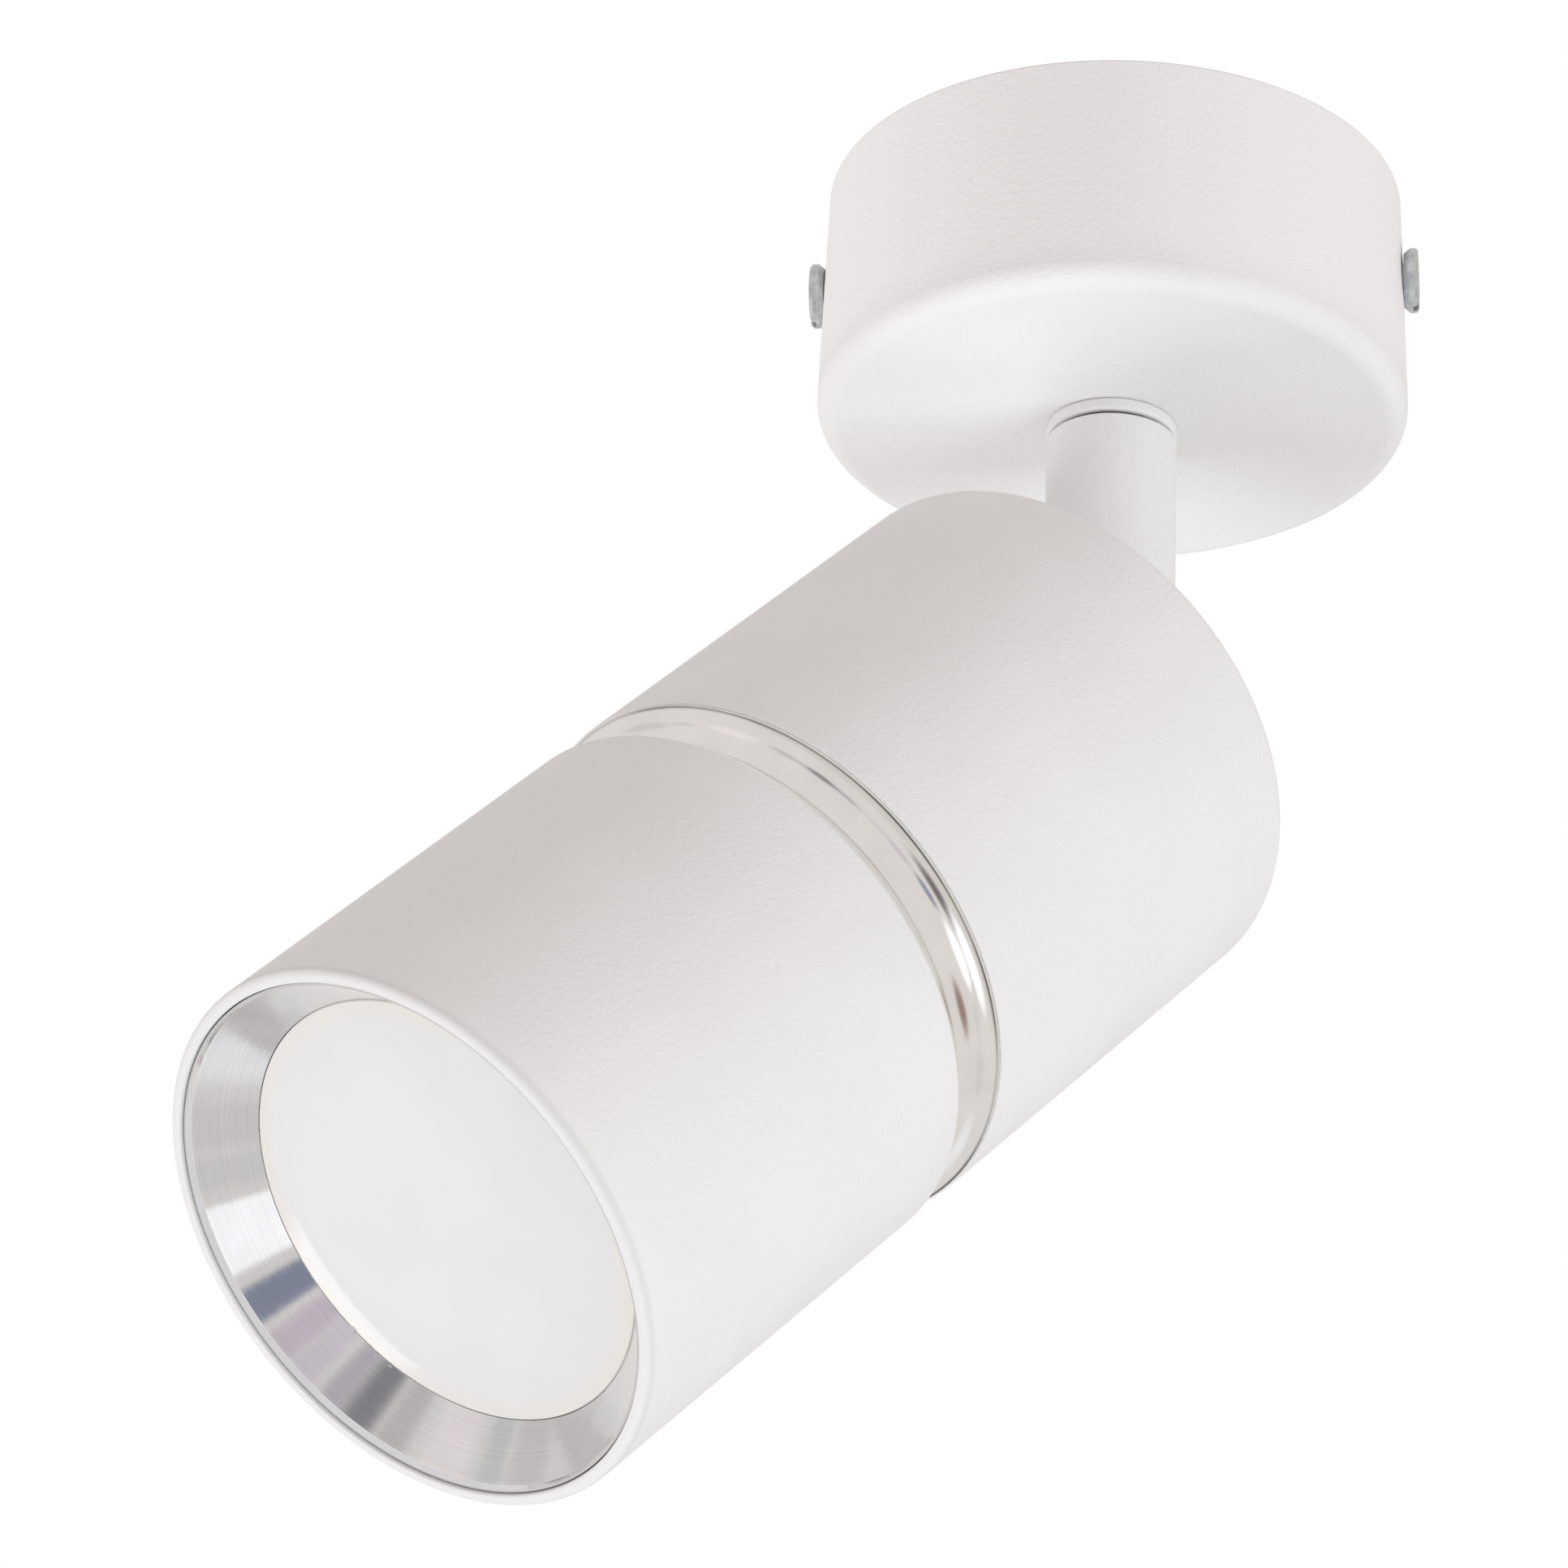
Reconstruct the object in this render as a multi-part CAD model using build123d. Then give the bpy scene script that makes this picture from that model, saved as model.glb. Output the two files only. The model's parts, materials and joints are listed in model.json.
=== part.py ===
# Surface mounted ceiling spotlight.
#
# A drawn steel canopy hangs from a strap on the ceiling by two side screws.
# A hollow stem turns in the canopy floor. At its lower end two half discs on
# one cross screw make a knuckle, and the tubular head tilts there from
# straight down to level. The head is a rear housing, a coved chrome ring and
# a front housing. It holds a twist-lock lamp behind a turned reflector ring.
#
# Frame: origin on the ceiling, at the centre of the canopy. +Z points up,
# and the side screws lie along X. Millimetres and degrees.

import os
from math import asin, cos, degrees, radians, sin, sqrt

from build123d import *

os.makedirs("parts", exist_ok=True)

# ---------------------------------------------------------------------------
# Driving dimensions
# ---------------------------------------------------------------------------

# Pose at rest
head_azimuth = -137.5       # compass direction of the beam, from +X
rest_tilt = 44.6            # beam, away from straight down
tilt_travel = 90.0          # from straight down to level

# Ceiling canopy, a tapered cup with its mouth up
canopy_radius = 33.0        # where wall and floor would meet
canopy_taper = 0.77         # lost from the radius between floor and mouth
canopy_height = 28.25
canopy_wall = 1.2
canopy_edge_round = 2.4
canopy_lip_round = 0.4

# Mounting bracket, a folded strap with a wing
strap_thickness = 1.5
strap_width = 18.0
strap_play = 0.3            # strap and tabs to the canopy's inner wall
fold_overlap = 0.01         # of a tab's bend into the flat strap
tab_width = 12.0
tab_drop = 15.8             # ceiling to the lower end of a tab
ceiling_slot_spacing = 36.0
ceiling_slot_length = 10.0
ceiling_slot_width = 4.5
cable_hole_radius = 6.0
wing_reach = 25.0           # from the centre, towards +Y
wing_left = 23.0
wing_right = 19.0
bend_radius = 1.0           # inside radius of each fold

# Side screws that hold the canopy on the strap
side_screw_drop = 10.4      # ceiling to the screw's axis
side_screw_radius = 2.0
side_screw_hole_radius = 2.2
side_head_radius = 3.65
side_head_height = 1.7
side_head_neck_radius = 3.05
side_head_chamfer = 0.7     # height of the cone under the head
side_head_edge_round = 0.45
side_head_crown = 0.1       # edge to the top of the head
side_screw_length = 9.0
side_slot_width = 1.0
side_slot_depth = 0.7

# Terminal block and its screws, under the wing
pole_count = 3
pole_pitch = 7.0
pole_width = 5.6
block_near = 8.6            # face towards the centre
block_depth = 14.0
block_base = 4.0
block_height = 13.0
block_ear = 5.0
terminal_bore_radius = 1.5
terminal_drop = 8.5         # ceiling to the bores
terminal_screw_radius = 1.3
terminal_screw_length = 4.0
terminal_screw_inset = 3.6  # from each face of the block
terminal_screw_sink = 0.6
terminal_slot_width = 0.6
terminal_slot_depth = 0.7
block_screw_radius = 1.45
block_screw_head_radius = 2.4
block_screw_head_height = 1.7
earth_screw_x = -17.5
earth_screw_y = 14.5
earth_screw_radius = 2.0
earth_head_radius = 3.8
earth_head_height = 2.4
earth_washer_radius = 4.6
earth_washer_thickness = 0.8

# Swivel: bush, collar, nipple, washers and nut
nipple_radius = 4.95
nipple_bore_radius = 3.2
nipple_spare = 1.8          # thread left standing past the nut
running_play = 0.08         # radial, shaft in bush
thread_play = 0.02          # radial, screw in its thread
flat_play = 0.05            # between flat faces that slide
bush_wall = 0.9
bush_flange_radius = 8.8
bush_flange = 0.8
collar_height = 1.5
slip_washer_thickness = 0.35
slip_washer_radius = 6.5
stop_washer_radius = 8.6
stop_washer_thickness = 1.5
stop_lug_reach = 14.5
stop_lug_width = 4.0
stop_pin_radius = 1.5
stop_pin_circle = 12.5
stop_pin_height = 3.0
disc_spring_radius = 8.4
disc_spring_thickness = 0.6
disc_spring_rise = 0.6
nut_across_flats = 14.0
nut_height = 5.0
edge_bush_wall = 0.55
edge_bush_length = 5.0
edge_bush_lip = 0.8

# Stem
stem_radius = 7.25
stem_thread_depth = 8.0
stem_edge_round = 0.4
stem_seat_round = 0.15      # where the stem meets the knuckle

# Knuckle, two half discs across the pivot
knuckle_seat = 9.9          # pivot to the shoulder on the stem
knuckle_gap = 0.3           # between the two half discs
knuckle_play = 0.35         # disc edge to the other half's shoulder
spigot_length = 6.8
wire_bore_radius = 2.6
pocket_inner_radius = 3.2
pocket_outer_radius = 5.5
pocket_depth = 3.0
pocket_margin = 20.0        # past the wire's lines, degrees
cross_screw_radius = 2.0
cross_head_radius = 3.5
cross_head_height = 2.0
cross_seat = 4.7            # mating plane to the bottom of each counterbore
cross_seat_play = 0.45      # radial, head in its counterbore
cross_nut_across_flats = 6.2
cross_socket_width = 2.5
cross_socket_depth = 1.2
tilt_pin_radius = 0.6
tilt_pin_circle = 4.35
tilt_pin_rest = 45.0        # slot end that the pin meets when the head points down
tilt_slot_play = 1.0        # past each end of the travel, degrees
tilt_pin_grip = 2.5
tilt_pin_reach = 1.4
friction_washer_play = 0.1  # radial, in the pocket

# Head, a tube in three lengths around the lamp
swing_clearance = 3.28      # canopy's floor to the head when the beam is level
rear_face = 11.25           # pivot to the back of the head
rear_housing_length = 52.55
ring_length = 7.6           # shown between the housings
front_housing_length = 51.8
housing_wall = 1.4
rear_wall = 1.6
rear_edge_round = 0.9
seam_edge_round = 0.25
front_edge_round = 0.8
rim_inner_round = 0.3
ring_lip_step = 0.9         # outside of the head to the ring's lips
ring_lip_width = 0.5
ring_cove_depth = 2.0
ring_wall = 0.9             # left at the bottom of the cove
ring_spigot_length = 8.0
spigot_play = 0.05
stop_bead_depth = 1.2
stop_bead_width = 1.4

# Reflector ring, turned from aluminium
reflector_set_back = 1.0    # behind the front rim
reflector_gap = 0.5         # to the inside of the front rim
reflector_lip = 0.3
reflector_edge_round = 0.12
reflector_overlap = 1.36    # edge of the hole inside the lamp's rim
reflector_hole_depth = 6.2  # front rim to the hole's edge
reflector_sheet = 0.6
reflector_root = 2.0        # front edge to the inner corner of cone and skirt
skirt_length = 18.2
skirt_wall = 0.8
skirt_room = 2.3            # radial, lamp's rim to the skirt
spring_count = 3
spring_width = 6.0
spring_thickness = 0.3
spring_rear = 3.0           # skirt's rear edge to the spring's tail
spring_span = 9.0           # length of the bowed part
spring_tail = 1.5
spring_bend = 0.5           # inside radius where the tails turn
spring_crest_bend = 0.7
spring_press = 0.1          # crest to the housing
window_play = 0.4

# Lamp with a twist-lock base
lamp_radius = 25.0
lamp_length = 54.0          # front rim to the ends of the pins
lamp_rim_length = 4.5
lamp_play = 0.3             # front rim to the back of the reflector
lamp_neck_radius = 14.0
lamp_base_radius = 12.6
lamp_base_length = 14.0
lamp_base_round = 0.8
lamp_base_taper = 3.0
lamp_flare_pull = 12.0      # along the axis, at each end of the flare
lamp_flare_neck = 1.0
lamp_flare_rim = 2.0
lamp_rim_wall = 1.5
diffuser_thickness = 1.6
diffuser_dome = 1.2
pin_circle_radius = 5.0
pin_length = 7.7
pin_neck_radius = 1.6
pin_head_radius = 2.5
pin_head_length = 2.6
pin_round = 0.6
lamp_twist = 20.0           # locked to unlocked

# Lamp holder and the bracket that carries it
holder_width = 30.0
holder_depth = 20.0
holder_height = 16.0
holder_round = 4.0
holder_play = 0.3           # holder's face to the lamp's base
holder_plate = 2.0
holder_slot_play = 0.3      # around the necks of the pins
holder_room = 0.4           # around the heads of the pins
holder_cavity = 9.0
contact_thickness = 0.8
contact_inset = 4.0         # each end, degrees
holder_screw_spread = 23.0
holder_screw_radius = 1.45
holder_screw_length = 8.0
holder_screw_head_radius = 2.6
holder_screw_head_height = 1.8
carrier_thickness = 1.2
carrier_width = 14.0
carrier_span = 37.0
carrier_ear = 10.0
lock_washer_radius = 8.5
lock_washer_thickness = 0.8
lock_tooth_count = 12
lock_notch_depth = 1.0
lock_notch_width = 1.0
head_nut_height = 4.0
head_spigot_spare = 1.3     # thread left standing past the nut

# Leads
lead_radius = 0.9
lead_circle = 1.2           # lead's centre to the stem's axis
lead_angles = (210, 90, 330)
lead_bend = 6.0
lead_grip = 3.0             # length inside a terminal
lead_mouth = 1.0            # terminal's face to the first bend
lead_mouth_bend = 2.5
sleeve_radius = 2.1

# Small details that many pieces share
edge_break = 0.3            # rounding of turned and moulded edges
thread_break = 0.4          # rounding of threaded ends
screw_slot_width = 0.9
overcut = 1.0               # how far a cut runs past the faces
tiny = 1e-6                 # shortest line worth drawing

# ---------------------------------------------------------------------------
# Sizes and places that follow
# ---------------------------------------------------------------------------

canopy_mouth_radius = canopy_radius - canopy_taper
floor_bottom = -canopy_height
floor_top = floor_bottom + canopy_wall
collar_bottom = floor_bottom - collar_height
stem_top = collar_bottom - slip_washer_thickness - flat_play
bush_top = floor_top + bush_flange
stop_washer_bottom = bush_top + flat_play
stop_washer_top = stop_washer_bottom + stop_washer_thickness
disc_spring_top = stop_washer_top + disc_spring_thickness + disc_spring_rise
nipple_top = disc_spring_top + nut_height + nipple_spare
bush_bore_radius = nipple_radius + running_play
bush_radius = bush_bore_radius + bush_wall
thread_bore_radius = nipple_radius + thread_play
cross_bore_radius = cross_screw_radius + running_play
knuckle_shoulder = stem_radius + knuckle_play

# the head is sized around the lamp, and the stem around the head's swing
skirt_bore_radius = lamp_radius + skirt_room
reflector_radius = skirt_bore_radius + skirt_wall
reflector_hole_radius = lamp_radius - reflector_overlap
housing_bore_radius = reflector_radius + reflector_gap
head_radius = housing_bore_radius + housing_wall
spigot_radius = housing_bore_radius - spigot_play
ring_lip_radius = head_radius - ring_lip_step
ring_inner_radius = ring_lip_radius - ring_cove_depth - ring_wall
pivot_drop = canopy_height + head_radius + swing_clearance
stem_bottom = -pivot_drop + knuckle_seat

# along the beam, from the pivot
rear_inner = rear_face + rear_wall
rear_front = rear_face + rear_housing_length
front_rear = rear_front + ring_length
front_face = front_rear + front_housing_length
carrier_base_top = rear_inner + carrier_thickness
lock_washer_top = carrier_base_top + lock_washer_thickness
head_nut_top = lock_washer_top + head_nut_height
head_spigot_end = head_nut_top + head_spigot_spare

reflector_front = front_face - reflector_set_back
reflector_edge = front_face - reflector_hole_depth
skirt_rear = reflector_front - skirt_length
lamp_front = reflector_edge - reflector_sheet - lamp_play
lamp_pin_end = lamp_front - lamp_length
lamp_base_rear = lamp_pin_end + pin_length
lamp_body_rear = lamp_base_rear + lamp_base_length
holder_front = lamp_base_rear - holder_play
holder_rear = holder_front - holder_height


# ---------------------------------------------------------------------------
# Helpers
# ---------------------------------------------------------------------------

def pivot_frame(tilt):
    """Frame at the pivot: X along the cross screw, Z along the beam at this tilt."""
    azimuth = radians(head_azimuth)
    lean = radians(tilt)
    beam = (sin(lean) * cos(azimuth), sin(lean) * sin(azimuth), -cos(lean))
    cross = (sin(azimuth), -cos(azimuth), 0)
    return Plane(origin=(0, 0, -pivot_drop), x_dir=cross, z_dir=beam)


stem_frame = pivot_frame(0)
head_frame = pivot_frame(rest_tilt)


def rounded_outline(corners):
    """Closed outline in the XZ plane from (x, z) or (x, z, rounding) corners."""
    points = [Vector(c[0], 0, c[1]) for c in corners]
    rounds = [c[2] if len(c) > 2 else 0 for c in corners]
    count = len(points)
    ends = []
    arcs = []
    for i in range(count):
        here = points[i]
        if rounds[i] == 0:
            ends.append((here, here))
            arcs.append(None)
            continue
        back = (points[i - 1] - here).normalized()
        ahead = (points[(i + 1) % count] - here).normalized()
        half = radians(back.get_angle(ahead)) / 2
        reach = rounds[i] * cos(half) / sin(half)
        middle = (back + ahead).normalized()
        nearest = here + middle * (rounds[i] / sin(half) - rounds[i])
        start = here + back * reach
        end = here + ahead * reach
        ends.append((start, end))
        arcs.append(ThreePointArc(start, nearest, end))
    edges = []
    for i in range(count):
        if arcs[i] is not None:
            edges.append(arcs[i])
        leave = ends[i][1]
        arrive = ends[(i + 1) % count][0]
        if (arrive - leave).length > tiny:
            edges.append(Line(leave, arrive))
    return make_face(Wire(edges))


def turned(corners):
    """Solid of revolution about Z from an outline of (radius, z) corners."""
    return revolve(rounded_outline(corners), Axis.Z)


def tube(outer, inner, low, high):
    """Plain ring between two heights."""
    return turned([(inner, low), (outer, low), (outer, high), (inner, high)])


def rod(radius, low, high):
    """Plain round bar between two heights."""
    return Pos(0, 0, low) * Cylinder(radius, high - low, align=(Align.CENTER, Align.CENTER, Align.MIN))


def block(x_size, y_size, low, high):
    """Plain block centred on Z between two heights."""
    return Pos(0, 0, low) * Box(x_size, y_size, high - low, align=(Align.CENTER, Align.CENTER, Align.MIN))


def hexagon(across_flats, low, high):
    """Six-sided bar between two heights."""
    sketch = RegularPolygon(across_flats / 2, 6, major_radius=False)
    return Pos(0, 0, low) * extrude(sketch, high - low)


def hex_nut(across_flats, height, bore, chamfer_ratio=0.12):
    """Hexagon nut on Z = 0 with its upper corners turned off."""
    corner = across_flats / sqrt(3)
    drop = across_flats * chamfer_ratio
    crown = turned([(0, 0), (corner, 0), (corner, height - drop / 2), (corner - drop, height), (0, height)])
    return (hexagon(across_flats, 0, height) & crown) - rod(bore, -overcut, height + overcut)


def arc_slot(inner, outer, low, high, start, sweep):
    """Part of a ring about Z, from an angle and over a sweep."""
    outline = rounded_outline([(inner, low), (outer, low), (outer, high), (inner, high)])
    return Rot(Z=start) * revolve(outline, Axis.Z, revolution_arc=sweep)


def cross_slot(inner, outer, depth_from, depth_to, start, end):
    """Part of a ring about X. Angles run from +Z towards +Y."""
    ring = arc_slot(inner, outer, depth_from, depth_to, 0, end - start)
    # Z turns to X, and the ring's start turns to the slot's end
    return Rot(X=-end) * (Rot(Y=90) * (Rot(Z=180) * ring))


def pan_screw(radius, length, wide, high):
    """Slotted pan head on Z = 0, shank down. The slot is half as deep as the head."""
    head = turned([(0, 0), (wide, 0, edge_break / 2), (wide, high, 0.45 * high), (0, high)])
    shank = rod(radius, -length, 0)
    groove = block(2 * wide + overcut, screw_slot_width, high / 2, high + overcut)
    return (head + shank) - groove


def save(node, shape):
    """Write one named piece."""
    export_step(shape, f"parts/{node}.step")


# ---------------------------------------------------------------------------
# Canopy and what is fixed in it
# ---------------------------------------------------------------------------

def canopy_inner_radius(drop):
    """Inside radius of the tapered wall at a distance below the ceiling."""
    outer = canopy_mouth_radius + (canopy_radius - canopy_mouth_radius) * drop / canopy_height
    return outer - canopy_wall


def ceiling_canopy():
    inner_floor_radius = canopy_inner_radius(canopy_height - canopy_wall)
    cup = turned([
        (bush_radius + running_play, floor_bottom),
        (canopy_radius, floor_bottom, canopy_edge_round),
        (canopy_mouth_radius, 0, canopy_lip_round),
        (canopy_inner_radius(0), 0, canopy_lip_round),
        (inner_floor_radius, floor_top, canopy_edge_round - canopy_wall),
        (bush_radius + running_play, floor_top),
    ])
    side_holes = Pos(0, 0, -side_screw_drop) * Rot(Y=90) * rod(
        side_screw_hole_radius, -canopy_radius - overcut, canopy_radius + overcut)
    return cup - side_holes


def tab_face():
    """Distance from the centre to the outer face of each tab."""
    return sqrt(canopy_inner_radius(0) ** 2 - (tab_width / 2) ** 2) - strap_play


def mounting_bracket():
    face = tab_face()
    bracket_radius = canopy_inner_radius(0) - strap_play
    plate = block(2 * face, strap_width, -strap_thickness, 0)
    wing_width = wing_left + wing_right
    wing = Pos((wing_right - wing_left) / 2, wing_reach / 2, 0) * block(
        wing_width, wing_reach, -strap_thickness, 0)
    plate = (plate + wing) & rod(bracket_radius, -strap_thickness, 0)
    # each end narrows to the tab's width, then folds down with a round bend
    fold = bend_radius + strap_thickness
    for side in (-1, 1):
        end = Pos(side * (face - fold / 2), 0, 0) * block(fold, 2 * strap_width, -strap_thickness, 0)
        plate -= end
        profile = rounded_outline([
            (face - fold - fold_overlap, 0),
            (face, 0, fold),
            (face, -tab_drop),
            (face - strap_thickness, -tab_drop),
            (face - strap_thickness, -strap_thickness, bend_radius),
            (face - fold - fold_overlap, -strap_thickness),
        ])
        tab = extrude(profile, tab_width / 2, both=True)
        plate += tab if side == 1 else mirror(tab, Plane.YZ)
    low = -strap_thickness - overcut
    plate -= rod(cable_hole_radius, low, overcut)
    slot = extrude(SlotOverall(ceiling_slot_length, ceiling_slot_width), 3 * strap_thickness, both=True)
    for side in (-1, 1):
        plate -= Pos(side * ceiling_slot_spacing / 2, 0, 0) * slot
    across = face + overcut
    plate -= Pos(0, 0, -side_screw_drop) * Rot(Y=90) * rod(side_screw_radius + thread_play, -across, across)
    plate -= Pos(*block_screw_place(), 0) * rod(block_screw_radius + thread_play, low, overcut)
    plate -= Pos(earth_screw_x, earth_screw_y, 0) * rod(earth_screw_radius + thread_play, low, overcut)
    return plate


def side_screw():
    """Canopy screw with its head on Z = 0 and its shank down, chamfered under the head."""
    head = turned([
        (0, 0),
        (side_head_neck_radius, 0),
        (side_head_radius, side_head_chamfer, edge_break),
        (side_head_radius, side_head_height - side_head_crown, side_head_edge_round),
        (0, side_head_height),
    ])
    shank = rod(side_screw_radius, -side_screw_length, 0)
    groove = block(2 * side_head_radius + overcut, side_slot_width,
                   side_head_height - side_slot_depth, side_head_height + overcut)
    return (head + shank) - groove


def side_screws():
    # the wall leans out, so the lower edge of the head touches it first
    seat = canopy_inner_radius(side_screw_drop + side_head_neck_radius) + canopy_wall
    screws = [Pos(side * seat, 0, -side_screw_drop) * Rot(Y=side * 90) * side_screw() for side in (-1, 1)]
    return Compound(children=screws)


def pole_places():
    """X of each pole of the terminal block."""
    return [(i - (pole_count - 1) / 2) * pole_pitch for i in range(pole_count)]


def block_screw_place():
    return (pole_count * pole_pitch / 2 + block_ear / 2, block_near + block_depth / 2)


def terminal_screw_places():
    rows = (block_near + terminal_screw_inset, block_near + block_depth - terminal_screw_inset)
    return [(x, y) for x in pole_places() for y in rows]


def terminal_block():
    top = -strap_thickness
    middle = block_near + block_depth / 2
    width = pole_count * pole_pitch + block_ear
    body = Pos(block_ear / 2, middle, 0) * block(width, block_depth, top - block_base, top)
    for x in pole_places():
        turret = Pos(x, middle, 0) * block(pole_width, block_depth, top - block_height, top)
        body += turret
    for x in pole_places():
        bore = Pos(x, block_near, -terminal_drop) * Rot(X=-90) * rod(
            terminal_bore_radius, -overcut, block_depth + overcut)
        body -= bore
    for x, y in terminal_screw_places():
        body -= Pos(x, y, 0) * rod(terminal_screw_radius + thread_play, top - block_height - overcut, -terminal_drop)
    body -= Pos(*block_screw_place(), 0) * rod(block_screw_radius + thread_play, top - block_base - overcut, 0)
    return body


def terminal_screws():
    low = -strap_thickness - block_height + terminal_screw_sink
    screw = rod(terminal_screw_radius, low, low + terminal_screw_length)
    screw -= block(2 * terminal_screw_radius + overcut, terminal_slot_width, low - overcut, low + terminal_slot_depth)
    return Compound(children=[Pos(x, y, 0) * screw for x, y in terminal_screw_places()])


def block_screw():
    length = block_base + strap_thickness
    screw = pan_screw(block_screw_radius, length, block_screw_head_radius, block_screw_head_height)
    return Pos(*block_screw_place(), -strap_thickness - block_base) * Rot(X=180) * screw


def earth_washer():
    low = -strap_thickness - earth_washer_thickness
    return Pos(earth_screw_x, earth_screw_y, 0) * tube(
        earth_washer_radius, earth_screw_radius + thread_play, low, -strap_thickness)


def earth_screw():
    length = strap_thickness + earth_washer_thickness
    screw = pan_screw(earth_screw_radius, length, earth_head_radius, earth_head_height)
    return Pos(earth_screw_x, earth_screw_y, -strap_thickness - earth_washer_thickness) * Rot(X=180) * screw


def swivel_bush():
    return turned([
        (bush_bore_radius, floor_bottom),
        (bush_radius, floor_bottom),
        (bush_radius, floor_top),
        (bush_flange_radius, floor_top),
        (bush_flange_radius, bush_top, edge_break),
        (bush_bore_radius, bush_top),
    ])


def stem_collar():
    return turned([
        (bush_radius, collar_bottom),
        (stem_radius, collar_bottom, stem_edge_round),
        (stem_radius, floor_bottom, stem_edge_round),
        (bush_radius, floor_bottom),
    ])


def slip_washer():
    return tube(slip_washer_radius, bush_bore_radius, collar_bottom - slip_washer_thickness, collar_bottom)


def swivel_stop_pin():
    """Stud on the canopy floor, opposite the lug at rest."""
    pin = turned([
        (0, 0),
        (stop_pin_radius, 0),
        (stop_pin_radius, stop_pin_height, edge_break),
        (0, stop_pin_height),
    ])
    return Rot(Z=head_azimuth + 180) * Pos(stop_pin_circle, 0, floor_top) * pin


def lead_places():
    """Where each lead passes down the stem, in the order of the poles."""
    spots = []
    for angle in lead_angles:
        spots.append((lead_circle * cos(radians(angle)), lead_circle * sin(radians(angle))))
    return spots


def supply_lead(index):
    """One insulated lead from its terminal to the knuckle's wire way."""
    pole = pole_places()[index]
    x, y = lead_places()[index]
    low = -pivot_drop + knuckle_shoulder + knuckle_play
    corners = [(pole, block_near + lead_grip, -terminal_drop)]
    rounds = []
    if abs(pole - x) > lead_radius:
        corners.append((pole, block_near - lead_mouth, -terminal_drop))
        rounds.append(lead_mouth_bend)
    corners.append((x, y, -terminal_drop))
    rounds.append(lead_bend)
    corners.append((x, y, low))
    path = FilletPolyline(*corners, radius=rounds)
    section = Plane(origin=path @ 0, z_dir=path % 0) * Circle(lead_radius)
    return sweep(section, path)


# ---------------------------------------------------------------------------
# Stem
# ---------------------------------------------------------------------------

def stem_tube():
    return turned([
        (nipple_bore_radius, stem_bottom + stem_thread_depth),
        (thread_bore_radius, stem_bottom + stem_thread_depth),
        (thread_bore_radius, stem_bottom),
        (stem_radius, stem_bottom, stem_seat_round),
        (stem_radius, stem_top, stem_edge_round),
        (thread_bore_radius, stem_top),
        (thread_bore_radius, stem_top - stem_thread_depth),
        (nipple_bore_radius, stem_top - stem_thread_depth),
    ])


def swivel_nipple():
    return turned([
        (nipple_bore_radius, stem_top - stem_thread_depth),
        (nipple_radius, stem_top - stem_thread_depth, thread_break),
        (nipple_radius, nipple_top, thread_break),
        (nipple_bore_radius, nipple_top),
    ])


def stop_washer():
    disc = rod(stop_washer_radius, stop_washer_bottom, stop_washer_top)
    lug = Pos(stop_lug_reach / 2, 0, 0) * block(stop_lug_reach, stop_lug_width, stop_washer_bottom, stop_washer_top)
    plate = Rot(Z=head_azimuth) * (disc + lug)
    return plate - rod(thread_bore_radius, stop_washer_bottom - overcut, stop_washer_top + overcut)


def disc_spring():
    inner = thread_bore_radius
    return turned([
        (inner, stop_washer_top + disc_spring_rise),
        (disc_spring_radius, stop_washer_top),
        (disc_spring_radius, stop_washer_top + disc_spring_thickness),
        (inner, disc_spring_top),
    ])


def swivel_nut():
    return Pos(0, 0, disc_spring_top) * hex_nut(nut_across_flats, nut_height, thread_bore_radius)


def nipple_edge_bush():
    bore = nipple_bore_radius - edge_bush_wall
    return turned([
        (bore, nipple_top - edge_bush_length),
        (nipple_bore_radius, nipple_top - edge_bush_length),
        (nipple_bore_radius, nipple_top),
        (nipple_radius, nipple_top),
        (nipple_radius, nipple_top + edge_bush_lip, edge_break),
        (bore, nipple_top + edge_bush_lip, edge_break / 2),
    ])


# ---------------------------------------------------------------------------
# Knuckle. Each half is drawn with the pivot at the origin, its bar along +Z
# and its disc on the +X side. The stem's half is the same, turned over.
# ---------------------------------------------------------------------------

def knuckle_half(bar_end, spigot_end):
    face = knuckle_gap / 2
    span = 2 * stem_radius
    bar = rod(stem_radius, -stem_radius, bar_end)
    disc = Rot(Y=90) * rod(stem_radius, -stem_radius, stem_radius)
    upper = block(span, span, 0, bar_end)
    half = bar & (disc + upper)
    # room for the other half's disc, up to a flat shoulder
    half -= Pos(face - span / 2, 0, 0) * block(span, span, -span, knuckle_shoulder)
    half += rod(nipple_radius, bar_end, spigot_end)
    # counterbore, cross screw and wire way
    half -= Rot(Y=90) * rod(cross_head_radius + cross_seat_play, cross_seat, span)
    half -= Rot(Y=90) * rod(cross_bore_radius, -span, span)
    half -= rod(wire_bore_radius, (pocket_inner_radius + pocket_outer_radius) / 2, spigot_end + overcut)
    return half


def knuckle_lower():
    """Half disc on the head. Its arc slot and the stem's pin set the tilt's two stops."""
    face = knuckle_gap / 2
    half = knuckle_half(rear_face, head_spigot_end)
    half -= cross_slot(pocket_inner_radius, pocket_outer_radius, face, face + pocket_depth,
                       -180 - pocket_margin, pocket_margin)
    edge = degrees(asin(tilt_pin_radius / tilt_pin_circle)) + tilt_slot_play
    reach = tilt_pin_radius + running_play
    half -= cross_slot(tilt_pin_circle - reach, tilt_pin_circle + reach, face, face + tilt_pin_reach + knuckle_gap,
                       tilt_pin_rest - edge, tilt_pin_rest + tilt_travel + edge)
    return head_frame * half


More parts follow.
